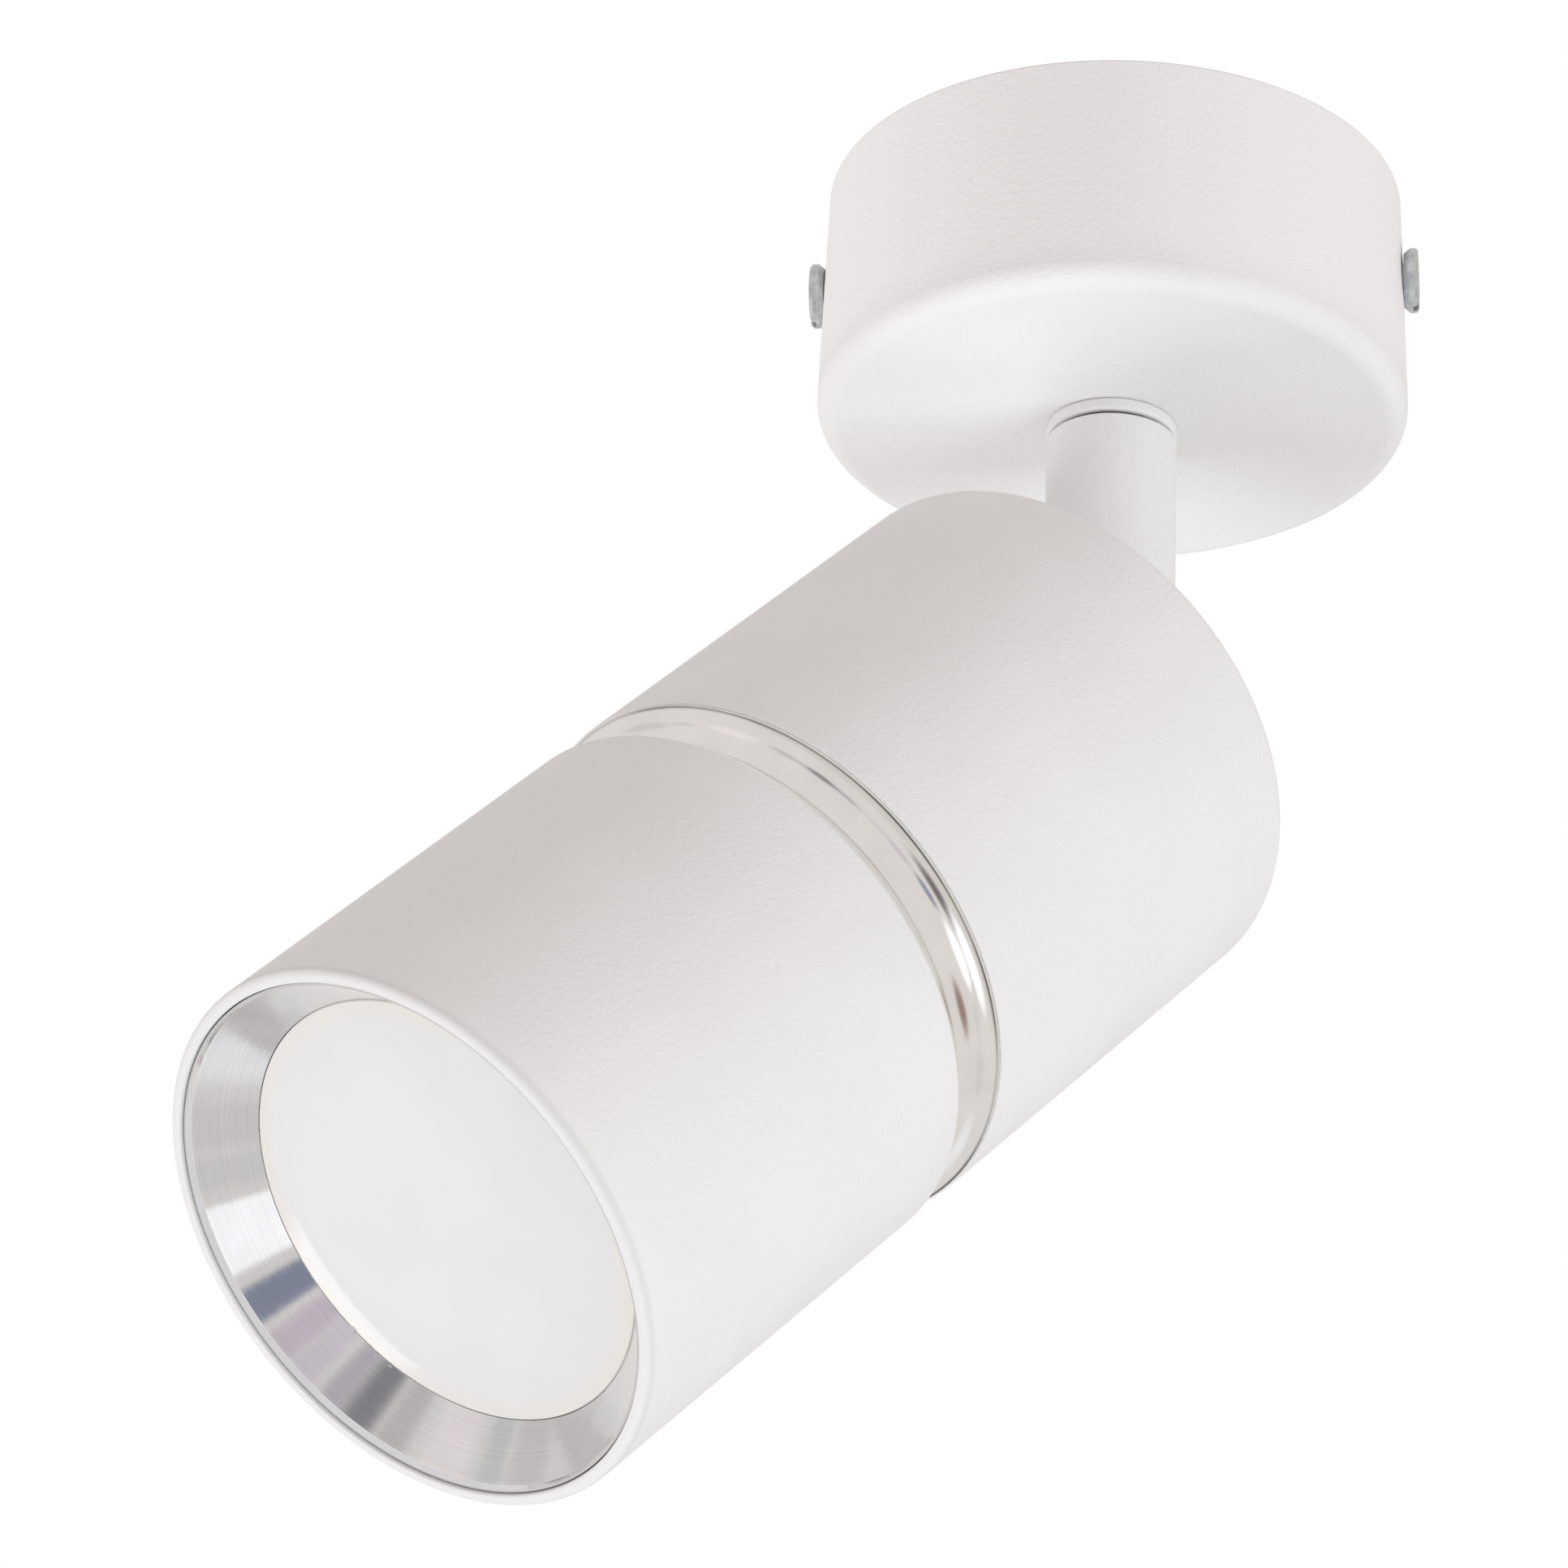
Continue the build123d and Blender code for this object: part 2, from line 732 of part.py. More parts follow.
def knuckle_upper():
    """Half disc under the stem."""
    face = knuckle_gap / 2
    half = knuckle_half(knuckle_seat, knuckle_seat + spigot_length)
    half = Rot(Y=180) * half
    pocket = cross_slot(pocket_inner_radius, pocket_outer_radius, -face - pocket_depth, -face,
                        -180 - pocket_margin, pocket_margin)
    half -= pocket
    half -= tilt_pin_bar(-face - tilt_pin_grip, -face)
    return stem_frame * half


def tilt_pin_bar(start, end):
    """Bar along X where the tilt pin stands, in the stem's frame."""
    y = tilt_pin_circle * sin(radians(tilt_pin_rest))
    z = tilt_pin_circle * cos(radians(tilt_pin_rest))
    return Pos(0, y, z) * Rot(Y=90) * rod(tilt_pin_radius, start, end)


def tilt_stop_pin():
    face = knuckle_gap / 2
    return stem_frame * tilt_pin_bar(-face - tilt_pin_grip, face + tilt_pin_reach)


def cross_screw():
    """Hexagon socket screw through both half discs, head on the stem's half."""
    head = turned([
        (0, 0),
        (cross_head_radius, 0),
        (cross_head_radius, cross_head_height, edge_break),
        (0, cross_head_height),
    ])
    shank = rod(cross_screw_radius, -2 * cross_seat - cross_head_height, 0)
    socket = hexagon(cross_socket_width, cross_head_height - cross_socket_depth, cross_head_height + overcut)
    screw = (head + shank) - socket
    return stem_frame * (Pos(-cross_seat, 0, 0) * Rot(Y=-90) * screw)


def cross_nut():
    nut = hex_nut(cross_nut_across_flats, cross_head_height, cross_screw_radius + thread_play)
    return stem_frame * (Pos(cross_seat + flat_play, 0, 0) * Rot(Y=90) * nut)


def friction_washer():
    face = knuckle_gap / 2
    washer = tube(pocket_inner_radius - friction_washer_play, cross_bore_radius, -face, face - flat_play)
    return stem_frame * (Rot(Y=90) * washer)


# ---------------------------------------------------------------------------
# Head. Pieces are drawn on the tube's axis, with Z = 0 at the pivot.
# ---------------------------------------------------------------------------

def rear_housing():
    cup = turned([
        (thread_bore_radius, rear_face),
        (head_radius, rear_face, rear_edge_round),
        (head_radius, rear_front, seam_edge_round),
        (housing_bore_radius, rear_front, seam_edge_round),
        (housing_bore_radius, rear_inner, rear_edge_round),
        (thread_bore_radius, rear_inner),
    ])
    return head_frame * cup


def cove_ring():
    """Spacer between the housings, with a coved waist and a spigot at each end."""
    lip = ring_lip_radius
    rear = rear_front
    front = front_rear
    middle = (rear + front) / 2
    cove_rear = (lip, 0, rear + ring_lip_width)
    cove_front = (lip, 0, front - ring_lip_width)
    cove = ThreePointArc(cove_rear, (lip - ring_cove_depth, 0, middle), cove_front)
    run = Polyline(
        cove_front,
        (lip, 0, front),
        (spigot_radius, 0, front),
        (spigot_radius, 0, front + ring_spigot_length),
        (ring_inner_radius, 0, front + ring_spigot_length),
        (ring_inner_radius, 0, rear - ring_spigot_length),
        (spigot_radius, 0, rear - ring_spigot_length),
        (spigot_radius, 0, rear),
        (lip, 0, rear),
        cove_rear,
    )
    ring = revolve(make_face(Wire([cove, *run.edges()])), Axis.Z)
    return head_frame * ring


def front_housing():
    """Tube with a rounded front rim, and a bead inside that stops the reflector ring."""
    bead_radius = housing_bore_radius - stop_bead_depth
    bead_front = skirt_rear - flat_play
    shell = turned([
        (housing_bore_radius, front_rear, seam_edge_round),
        (head_radius, front_rear, seam_edge_round),
        (head_radius, front_face, front_edge_round),
        (housing_bore_radius, front_face, rim_inner_round),
        (housing_bore_radius, bead_front),
        (bead_radius, bead_front),
        (bead_radius, bead_front - stop_bead_width),
        (housing_bore_radius, bead_front - stop_bead_width - stop_bead_depth),
    ])
    return head_frame * shell


def lamp_carrier():
    """Folded strip, clamped on the rear wall, whose two ears carry the lamp holder."""
    half = carrier_span / 2
    t = carrier_thickness
    ear_top = holder_rear
    outer = bend_radius + t
    strip = rounded_outline([
        (half, rear_inner, outer),
        (half, ear_top, outer),
        (half - carrier_ear, ear_top),
        (half - carrier_ear, ear_top - t),
        (half - t, ear_top - t, bend_radius),
        (half - t, carrier_base_top, bend_radius),
        (0, carrier_base_top),
        (0, rear_inner),
    ])
    right = extrude(strip, carrier_width / 2, both=True)
    carrier = right + mirror(right, Plane.YZ)
    carrier -= rod(thread_bore_radius, rear_inner - overcut, carrier_base_top + overcut)
    for side in (-1, 1):
        carrier -= Pos(side * holder_screw_spread / 2, 0, 0) * rod(
            holder_screw_radius + thread_play, ear_top - t - overcut, ear_top + overcut)
    return head_frame * carrier


def lock_washer():
    """Toothed washer under the head's nut."""
    washer = tube(lock_washer_radius, thread_bore_radius, carrier_base_top, lock_washer_top)
    notch = Pos(lock_washer_radius, 0, 0) * block(
        2 * lock_notch_depth, lock_notch_width, carrier_base_top - overcut, lock_washer_top + overcut)
    for i in range(lock_tooth_count):
        washer -= Rot(Z=i * 360 / lock_tooth_count) * notch
    return head_frame * washer


def head_nut():
    nut = hex_nut(nut_across_flats, head_nut_height, thread_bore_radius)
    return head_frame * (Pos(0, 0, lock_washer_top) * nut)


def lamp_holder():
    """Ceramic block with two keyhole slots for the lamp's pins."""
    body = Pos(0, 0, holder_rear) * extrude(
        RectangleRounded(holder_width, holder_depth, holder_round), holder_height)
    plate_back = holder_front - holder_plate
    cavity_end = plate_back - holder_cavity
    neck = pin_neck_radius + holder_slot_play
    room = pin_head_radius + holder_room
    neck_edge = degrees(asin(neck / pin_circle_radius))
    room_edge = degrees(asin(room / pin_circle_radius))
    for turn in (0, 180):
        body -= arc_slot(pin_circle_radius - neck, pin_circle_radius + neck, plate_back, holder_front + overcut,
                         turn - neck_edge, lamp_twist + 2 * neck_edge)
        body -= arc_slot(pin_circle_radius - room, pin_circle_radius + room, cavity_end, plate_back,
                         turn - room_edge, lamp_twist + 2 * room_edge)
        entry = rod(room, plate_back - overcut, holder_front + overcut)
        body -= Rot(Z=turn + lamp_twist) * Pos(pin_circle_radius, 0, 0) * entry
    for side in (-1, 1):
        body -= Pos(side * holder_screw_spread / 2, 0, 0) * rod(
            holder_screw_radius + thread_play, holder_rear - overcut, holder_rear + holder_screw_length)
    return head_frame * body


def holder_contacts():
    """Two brass strips at the bottom of the holder's cavities."""
    low = holder_front - holder_plate - holder_cavity
    room = pin_head_radius + holder_room
    edge = degrees(asin(room / pin_circle_radius)) - contact_inset
    contacts = []
    for turn in (0, 180):
        contacts.append(head_frame * arc_slot(
            pin_circle_radius - pin_head_radius, pin_circle_radius + pin_head_radius, low, low + contact_thickness,
            turn - edge, lamp_twist + 2 * edge))
    return Compound(children=contacts)


def holder_screws():
    screw = pan_screw(holder_screw_radius, holder_screw_length, holder_screw_head_radius, holder_screw_head_height)
    place = holder_rear - carrier_thickness
    screws = []
    for side in (-1, 1):
        screws.append(head_frame * (Pos(side * holder_screw_spread / 2, 0, place) * Rot(X=180) * screw))
    return Compound(children=screws)


def lead_sleeve():
    """Sleeved leads from the knuckle to the back of the holder."""
    return head_frame * rod(sleeve_radius, knuckle_shoulder + knuckle_play, holder_rear)


# ---------------------------------------------------------------------------
# Reflector ring and its springs
# ---------------------------------------------------------------------------

def spring_low():
    return skirt_rear + spring_rear


def reflector_ring():
    """Turned cone with a thin front lip, and a skirt with a window for each spring."""
    ring = turned([
        (reflector_radius, skirt_rear, reflector_edge_round),
        (reflector_radius, reflector_front, reflector_edge_round),
        (reflector_radius - reflector_lip, reflector_front),
        (reflector_hole_radius, reflector_edge),
        (reflector_hole_radius, reflector_edge - reflector_sheet),
        (skirt_bore_radius, reflector_front - reflector_root),
        (skirt_bore_radius, skirt_rear),
    ])
    window_low = spring_low() + spring_tail - window_play
    window_high = spring_low() + spring_tail + spring_span + window_play
    window = Pos(reflector_radius, 0, 0) * block(
        4 * skirt_wall, spring_width + 2 * window_play, window_low, window_high)
    for i in range(spring_count):
        ring -= Rot(Z=i * 360 / spring_count) * window
    return head_frame * ring


def reflector_springs():
    """Leaf springs that bow out through the windows and grip the housing."""
    # the strip is flat across, so its tails touch the skirt with their edges
    inner = sqrt(skirt_bore_radius ** 2 - (spring_width / 2) ** 2) - flat_play
    crest = housing_bore_radius - spring_press
    low = spring_low()
    quarter = spring_span / 4
    start = low + spring_tail
    t = spring_thickness
    tail_round = spring_bend + t
    crest_round = spring_crest_bend + t
    leaf_face = rounded_outline([
        (inner, low),
        (inner, start, spring_bend),
        (crest, start + quarter, crest_round),
        (crest, start + 3 * quarter, crest_round),
        (inner, start + spring_span, spring_bend),
        (inner, start + spring_span + spring_tail),
        (inner - t, start + spring_span + spring_tail),
        (inner - t, start + spring_span, tail_round),
        (crest - t, start + 3 * quarter, spring_crest_bend),
        (crest - t, start + quarter, spring_crest_bend),
        (inner - t, start, tail_round),
        (inner - t, low),
    ])
    leaf = extrude(leaf_face, spring_width / 2, both=True)
    # the strip is flat across, so its corners are trimmed to the housing's round
    leaf = leaf & rod(crest, low - overcut, reflector_front)
    return Compound(children=[
        head_frame * (Rot(Z=i * 360 / spring_count) * leaf) for i in range(spring_count)])


# ---------------------------------------------------------------------------
# Lamp
# ---------------------------------------------------------------------------

def lamp_body():
    """Tapered body with a rim that holds the diffuser."""
    seat = lamp_front - diffuser_thickness
    rim_rear = lamp_front - lamp_rim_length
    well = lamp_radius - lamp_rim_wall
    flare = Bezier(
        (lamp_neck_radius, 0, lamp_body_rear),
        (lamp_neck_radius + lamp_flare_neck, 0, lamp_body_rear + lamp_flare_pull),
        (lamp_radius - lamp_flare_rim, 0, rim_rear - lamp_flare_pull),
        (lamp_radius, 0, rim_rear),
    )
    rest = Polyline(
        (lamp_radius, 0, rim_rear),
        (lamp_radius, 0, lamp_front),
        (well, 0, lamp_front),
        (well, 0, seat),
        (0, 0, seat),
        (0, 0, lamp_body_rear),
        (lamp_neck_radius, 0, lamp_body_rear),
    )
    return head_frame * revolve(make_face(Wire([flare, *rest.edges()])), Axis.Z)


def lamp_diffuser():
    seat = lamp_front - diffuser_thickness
    radius = lamp_radius - lamp_rim_wall - spigot_play
    apex = lamp_front + diffuser_dome
    # the sagitta gives the radius of the dome's sphere
    sphere = (radius ** 2 + diffuser_dome ** 2) / (2 * diffuser_dome)
    half = radius / 2
    height = apex - sphere + sqrt(sphere ** 2 - half ** 2)
    dome = ThreePointArc((radius, 0, lamp_front), (half, 0, height), (0, 0, apex))
    rest = Polyline((0, 0, apex), (0, 0, seat), (radius, 0, seat), (radius, 0, lamp_front))
    return head_frame * revolve(make_face(Wire([dome, *rest.edges()])), Axis.Z)


def lamp_base():
    return head_frame * turned([
        (0, lamp_base_rear),
        (lamp_base_radius, lamp_base_rear, lamp_base_round),
        (lamp_base_radius, lamp_body_rear - lamp_base_taper),
        (lamp_neck_radius, lamp_body_rear),
        (0, lamp_body_rear),
    ])


def lamp_pins():
    pins = []
    for turn in (0, 180):
        pin = turned([
            (0, lamp_pin_end),
            (pin_head_radius, lamp_pin_end, pin_round),
            (pin_head_radius, lamp_pin_end + pin_head_length),
            (pin_neck_radius, lamp_pin_end + pin_head_length + pin_round),
            (pin_neck_radius, lamp_base_rear),
            (0, lamp_base_rear),
        ])
        pins.append(head_frame * (Rot(Z=turn) * Pos(pin_circle_radius, 0, 0) * pin))
    return Compound(children=pins)


# ---------------------------------------------------------------------------
# Pieces, one file each
# ---------------------------------------------------------------------------

pieces = {
    "ceiling_canopy": ceiling_canopy,
    "mounting_bracket": mounting_bracket,
    "side_screws": side_screws,
    "terminal_block": terminal_block,
    "terminal_screws": terminal_screws,
    "block_screw": block_screw,
    "earth_screw": earth_screw,
    "earth_washer": earth_washer,
    "swivel_bush": swivel_bush,
    "stem_collar": stem_collar,
    "slip_washer": slip_washer,
    "swivel_stop_pin": swivel_stop_pin,
    "stem_tube": stem_tube,
    "swivel_nipple": swivel_nipple,
    "stop_washer": stop_washer,
    "disc_spring": disc_spring,
    "swivel_nut": swivel_nut,
    "nipple_edge_bush": nipple_edge_bush,
    "knuckle_upper": knuckle_upper,
    "tilt_stop_pin": tilt_stop_pin,
    "cross_screw": cross_screw,
    "cross_nut": cross_nut,
    "friction_washer": friction_washer,
    "knuckle_lower": knuckle_lower,
    "rear_housing": rear_housing,
    "cove_ring": cove_ring,
    "front_housing": front_housing,
    "lamp_carrier": lamp_carrier,
    "lock_washer": lock_washer,
    "head_nut": head_nut,
    "lamp_holder": lamp_holder,
    "holder_contacts": holder_contacts,
    "holder_screws": holder_screws,
    "lead_sleeve": lead_sleeve,
    "reflector_ring": reflector_ring,
    "reflector_springs": reflector_springs,
    "lamp_body": lamp_body,
    "lamp_diffuser": lamp_diffuser,
    "lamp_base": lamp_base,
    "lamp_pins": lamp_pins,
}

for node, make in pieces.items():
    save(node, make())

for index, lead in enumerate(("live_lead", "earth_lead", "neutral_lead")):
    save(lead, supply_lead(index))
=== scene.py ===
import json
from math import asin, cos, degrees, pi, radians, sin, sqrt, tan

import bmesh
import bpy
from mathutils import Matrix, Vector


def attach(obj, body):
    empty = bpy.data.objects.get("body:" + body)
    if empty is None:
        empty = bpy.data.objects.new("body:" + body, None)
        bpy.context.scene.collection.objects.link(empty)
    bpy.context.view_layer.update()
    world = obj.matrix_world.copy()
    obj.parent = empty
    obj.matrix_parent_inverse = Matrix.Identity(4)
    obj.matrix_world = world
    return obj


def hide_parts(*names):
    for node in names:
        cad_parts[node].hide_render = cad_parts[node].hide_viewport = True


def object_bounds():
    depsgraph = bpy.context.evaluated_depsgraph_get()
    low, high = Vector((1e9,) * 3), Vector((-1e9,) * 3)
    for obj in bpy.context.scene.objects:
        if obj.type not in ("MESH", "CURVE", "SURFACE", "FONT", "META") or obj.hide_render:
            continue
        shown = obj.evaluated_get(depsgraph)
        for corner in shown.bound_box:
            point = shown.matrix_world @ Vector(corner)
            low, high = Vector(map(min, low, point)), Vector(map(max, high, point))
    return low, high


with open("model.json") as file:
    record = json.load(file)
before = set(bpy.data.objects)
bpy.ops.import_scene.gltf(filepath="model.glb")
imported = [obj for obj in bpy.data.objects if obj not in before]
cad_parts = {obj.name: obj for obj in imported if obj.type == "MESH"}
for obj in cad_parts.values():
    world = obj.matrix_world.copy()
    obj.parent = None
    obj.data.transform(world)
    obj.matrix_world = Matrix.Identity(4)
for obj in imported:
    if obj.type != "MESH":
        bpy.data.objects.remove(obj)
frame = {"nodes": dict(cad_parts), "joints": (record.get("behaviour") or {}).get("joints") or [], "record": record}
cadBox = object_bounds()
mm = 0.001                                        # sizes below are written in millimetres
print("frame loaded,", len(frame["nodes"]), "pieces")

joints = {joint["name"]: joint for joint in frame["joints"]}
pivot = Vector(joints["head_tilt"]["pos_m"])
crossAxis = Vector(joints["head_tilt"]["axis"]).normalized()
beamAxis = Vector(joints["reflector_pull"]["axis"]).normalized()


def placeAlong(origin, xAxis, zAxis):             # matrix of a frame from two of its axes
    yAxis = zAxis.cross(xAxis)
    turn = Matrix((xAxis, yAxis, zAxis)).transposed().to_4x4()
    return Matrix.Translation(origin) @ turn


ceilingPlace = Matrix.Identity(4)                 # Z = 0 at the ceiling
headPlace = placeAlong(pivot, crossAxis, beamAxis)  # Z = 0 at the pivot, Z along the beam
beamTurn = headPlace.to_euler()


class Value:                                      # one output socket that can be reckoned with
    def __init__(self, maker, socket):
        self.maker = maker
        self.socket = socket

    def reckon(self, operation, *terms):
        return self.maker.add("ShaderNodeMath", {"operation": operation}, dict(enumerate(terms)))

    def __add__(self, other):
        return self.reckon("ADD", self, other)

    def __radd__(self, other):
        return self.reckon("ADD", other, self)

    def __sub__(self, other):
        return self.reckon("SUBTRACT", self, other)

    def __rsub__(self, other):
        return self.reckon("SUBTRACT", other, self)

    def __mul__(self, other):
        return self.reckon("MULTIPLY", self, other)

    def __rmul__(self, other):
        return self.reckon("MULTIPLY", other, self)

    def __truediv__(self, other):
        return self.reckon("DIVIDE", self, other)

    def __pow__(self, other):
        return self.reckon("POWER", self, other)

    def above(self, edge):                        # 1 where the value passes the edge
        return self.reckon("GREATER_THAN", self, edge)

    def larger(self, other):
        return self.reckon("MAXIMUM", self, other)

    def sine(self):
        return self.reckon("SINE", self)

    def clipped(self):
        return self.maker.add("ShaderNodeClamp", {}, {"Value": self})

    def ramp(self, low, high):                    # 0 at low, 1 at high, soft between
        return self.maker.add("ShaderNodeMapRange", {"interpolation_type": "SMOOTHSTEP"}, {
            "Value": self, "From Min": low, "From Max": high})

    def past(self, low, high):                    # the same, with low and high in millimetres
        return self.ramp(low * mm, high * mm)


class Nodes:                                      # a node tree and the ways to add to it
    def __init__(self, tree):
        self.tree = tree

    def add(self, kind, settings, inputs, output=0):
        node = self.tree.nodes.new(kind)
        for key, value in settings.items():
            setattr(node, key, value)
        for key, value in inputs.items():
            socket = node.inputs[key]
            if isinstance(value, Value):
                self.tree.links.new(value.socket, socket)
            elif socket.type == "RGBA":
                socket.default_value = (*value[:3], 1)
            else:
                socket.default_value = value
        if node.outputs:
            return Value(self, node.outputs[output])

    def blend(self, share, first, second):        # colour mix
        return self.add("ShaderNodeMix", {"data_type": "RGBA"}, {0: share, 6: first, 7: second}, 2)

    def split(self, place):                       # the three parts of a place
        first = self.add("ShaderNodeSeparateXYZ", {}, {0: place})
        return [Value(self, output) for output in first.socket.node.outputs]


class Finish(Nodes):                              # a material and its nodes
    def __init__(self, name, **shaderValues):
        self.material = bpy.data.materials.new(name)
        self.material.use_nodes = True
        super().__init__(self.material.node_tree)
        self.shader = self.tree.nodes["Principled BSDF"]
        for socket, value in shaderValues.items():
            self.shader.inputs[socket.replace("_", " ")].default_value = value
        self.place = self.add("ShaderNodeTexCoord", {}, {}, "Object")

    def feed(self, **links):                      # link values to the shader's sockets
        for socket, value in links.items():
            self.tree.links.new(value.socket, self.shader.inputs[socket.replace("_", " ")])
        return self

    def noise(self, size, detail=3.0, rough=0.5, seed=0.0):
        return self.add("ShaderNodeTexNoise", {"noise_dimensions": "4D"}, {
            "Vector": self.place, "W": seed, "Scale": 1 / (size * mm),
            "Detail": detail, "Roughness": rough})

    # noise along one measure, output 1 gives it as a colour
    def line(self, along, size, detail=2.0, rough=0.5, seed=0.0, output=0):
        return self.add("ShaderNodeTexNoise", {"noise_dimensions": "1D"}, {
            "W": along / (size * mm) + seed, "Scale": 1.0,
            "Detail": detail, "Roughness": rough}, output)

    def cells(self, size, feature="F1"):
        return self.add("ShaderNodeTexVoronoi", {"feature": feature}, {
            "Vector": self.place, "Scale": 1 / (size * mm)}, "Distance")

    def bump(self, height, depth, strength=1.0):
        return self.add("ShaderNodeBump", {}, {
            "Height": height, "Distance": depth * mm, "Strength": strength}, "Normal")

    def alongBeam(self):                          # object place seen along the beam
        place = self.add("ShaderNodeMapping", {"vector_type": "TEXTURE"}, {
            "Vector": self.place, "Location": tuple(pivot), "Rotation": tuple(beamTurn)})
        return self.split(place)

    def acrossBeam(self):                         # distance from the middle of the beam
        x, y = self.alongBeam()[:2]
        return (x * x + y * y) ** 0.5


# In the finishes, a pair of numbers is where a soft change starts and ends. Sizes and depths are in
# millimetres, and places along the beam and across it start at the head's pivot.

clouds = (0.3, 0.7)                               # the part of a noise in which two tones change

coatLook = {
    "tone": (0.85, 0.842, 0.842),                 # fine textured white powder coat
    "shade": (0.83, 0.822, 0.82),
    "shadeSize": 14.0,
    "shadeShare": (0.35, 0.65),
    "grain": 0.50,                                # size of the leather-like grain
    "grainDepth": 0.085,
    "pebble": 0.7,                                # share of its rounded part
    "fine": 0.5,                                  # and of its rough part
    "fineSize": 0.55,                             # of the grain's size
    "rough": 0.5,
    "roughSpread": 0.16,
    "speck": (0.22, 0.17, 0.14),                  # rare dark specks
    "speckStrength": 0.8,
    "speckSpacing": 9.0,
    "speckSize": (0.0066, 0.011),                 # core and edge, in spacings
    "speckPatch": 40.0,                           # they come in patches
    "speckRarity": 0.56,
    "paintedLightWallTone": (0.90, 0.889, 0.886),             # painted light: the canopy's wall is painted a touch paler
    "wall": (-27.5, -21.0),                       # heights below the ceiling
    "paintedShadeRimTone": (0.75, 0.745, 0.745),              # painted shade: the tube's rim is painted darker, and its grain is smoother
    "rim": (121.9, 122.7),                        # along the beam
    "smooth": (120.0, 122.1),
}


def whiteCoat(name):
    look = coatLook
    finish = Finish(name, IOR=1.5)
    pebble = finish.cells(look["grain"], "SMOOTH_F1")
    fine = finish.noise(look["grain"] * look["fineSize"], 2.0)
    broad = finish.noise(look["shadeSize"], 2.0, seed=3.0)
    height = finish.split(finish.place)[2]
    reach = finish.alongBeam()[2]
    tone = finish.blend(broad.ramp(*look["shadeShare"]), look["shade"], look["tone"])
    # painted light: the coat is paler on the canopy's wall, above these heights
    tone = finish.blend(height.past(*look["wall"]), tone, look["paintedLightWallTone"])
    # painted shade: the coat is darker on the tube's rim, towards the front along the beam
    tone = finish.blend(reach.past(*look["rim"]), tone, look["paintedShadeRimTone"])
    dots = 1 - finish.cells(look["speckSpacing"]).ramp(*look["speckSize"])
    rare = finish.noise(look["speckPatch"], 0.0, seed=8.0).above(look["speckRarity"])
    tone = finish.blend(dots * rare * look["speckStrength"], tone, look["speck"])
    grain = (pebble * look["pebble"] + fine * look["fine"]) * (1 - reach.past(*look["smooth"]))
    return finish.feed(
        Base_Color=tone,
        Roughness=look["rough"] + (fine - 0.5) * look["roughSpread"],
        Normal=finish.bump(grain, look["grainDepth"]),
    ).material


chromeLook = {
    "tone": (0.96, 0.95, 0.94),
    "dull": (0.90, 0.885, 0.87),                  # where the plating is hazy
    "hazeSize": 5.0,
    "rough": 0.09,
    "hazeRough": 0.07,
    "lineSize": 0.11,                             # fine lines left by polishing run round the ring
    "lineShare": 0.1,
    "rippleSize": 2.6,
    "depth": 0.02,
    "strength": 0.3,
    "shadeLineTone": (0.05, 0.05, 0.055),              # a thin dark line of painted shade inside the rear lip, along the beam
    "shadeLineRear": (64.12, 64.16),
    "shadeLineFront": (64.17, 64.26),
    "shadeLinePatch": 26.0,                            # it comes and goes
    "shadeLineShare": (0.38, 0.52),
    "shadeLineLeast": 0.3,
    "shadeLineMore": 0.6,
}


def chromePlate(name):
    look = chromeLook
    finish = Finish(name, Metallic=1.0)
    reach = finish.alongBeam()[2]
    haze = finish.noise(look["hazeSize"], 4.0, 0.6)
    lines = finish.line(reach, look["lineSize"])
    ripple = finish.noise(look["rippleSize"], 2.0, seed=5.0)
    tone = finish.blend(haze.ramp(*clouds), look["dull"], look["tone"])
    # painted shade: a thin dark line where the cove starts inside the rear lip, stronger in patches
    seam = reach.past(*look["shadeLineRear"]) * (1 - reach.past(*look["shadeLineFront"]))
    patch = finish.noise(look["shadeLinePatch"], 1.0, seed=2.0).ramp(*look["shadeLineShare"])
    tone = finish.blend(seam * (patch * look["shadeLineMore"] + look["shadeLineLeast"]), tone, look["shadeLineTone"])
    return finish.feed(
        Base_Color=tone,
        Roughness=look["rough"] + haze * look["hazeRough"],
        Normal=finish.bump(lines * look["lineShare"] + ripple, look["depth"], look["strength"]),
    ).material


aluminiumLook = {
    "tone": (0.89, 0.89, 0.90),
    "stain": (0.84, 0.84, 0.85),
    "stainSize": 5.0,
    "groove": 0.07,                               # the tool leaves a groove at each turn
    "grooveTone": (0.56, 0.56, 0.58),
    "grooveShare": (0.45, 0.7),
    "grooveStrength": 0.38,
    "band": 0.6,                                  # and broader waves where it dwelt
    "bandShare": 0.6,
    "sheen": 0.22,
    "sheenStrength": 0.08,                        # faint colours between the grooves
    "rough": 0.03,
    "grooveRough": 0.06,
    "depth": 0.008,
    "strength": 0.34,
}


def turnedAluminium(name):
    look = aluminiumLook
    finish = Finish(name, Metallic=1.0)
    radius = finish.acrossBeam()
    groove = finish.line(radius, look["groove"], 3.0, 0.6)
    band = finish.line(radius, look["band"], 1.0, seed=9.0)
    sheen = finish.line(radius, look["sheen"], 1.0, seed=4.0, output=1)
    stain = finish.noise(look["stainSize"], 3.0, seed=2.0)
    tone = finish.blend(stain.ramp(*clouds), look["stain"], look["tone"])
    # painted shade: the tool's grooves are made darker
    paintedGrooveShade = groove.ramp(*look["grooveShare"]) * look["grooveStrength"]
    tone = finish.blend(paintedGrooveShade, tone, look["grooveTone"])
    tone = finish.blend(look["sheenStrength"], tone, sheen)
    return finish.feed(
        Base_Color=tone,
        Roughness=look["rough"] + groove * look["grooveRough"],
        Normal=finish.bump(groove + band * look["bandShare"], look["depth"], look["strength"]),
    ).material


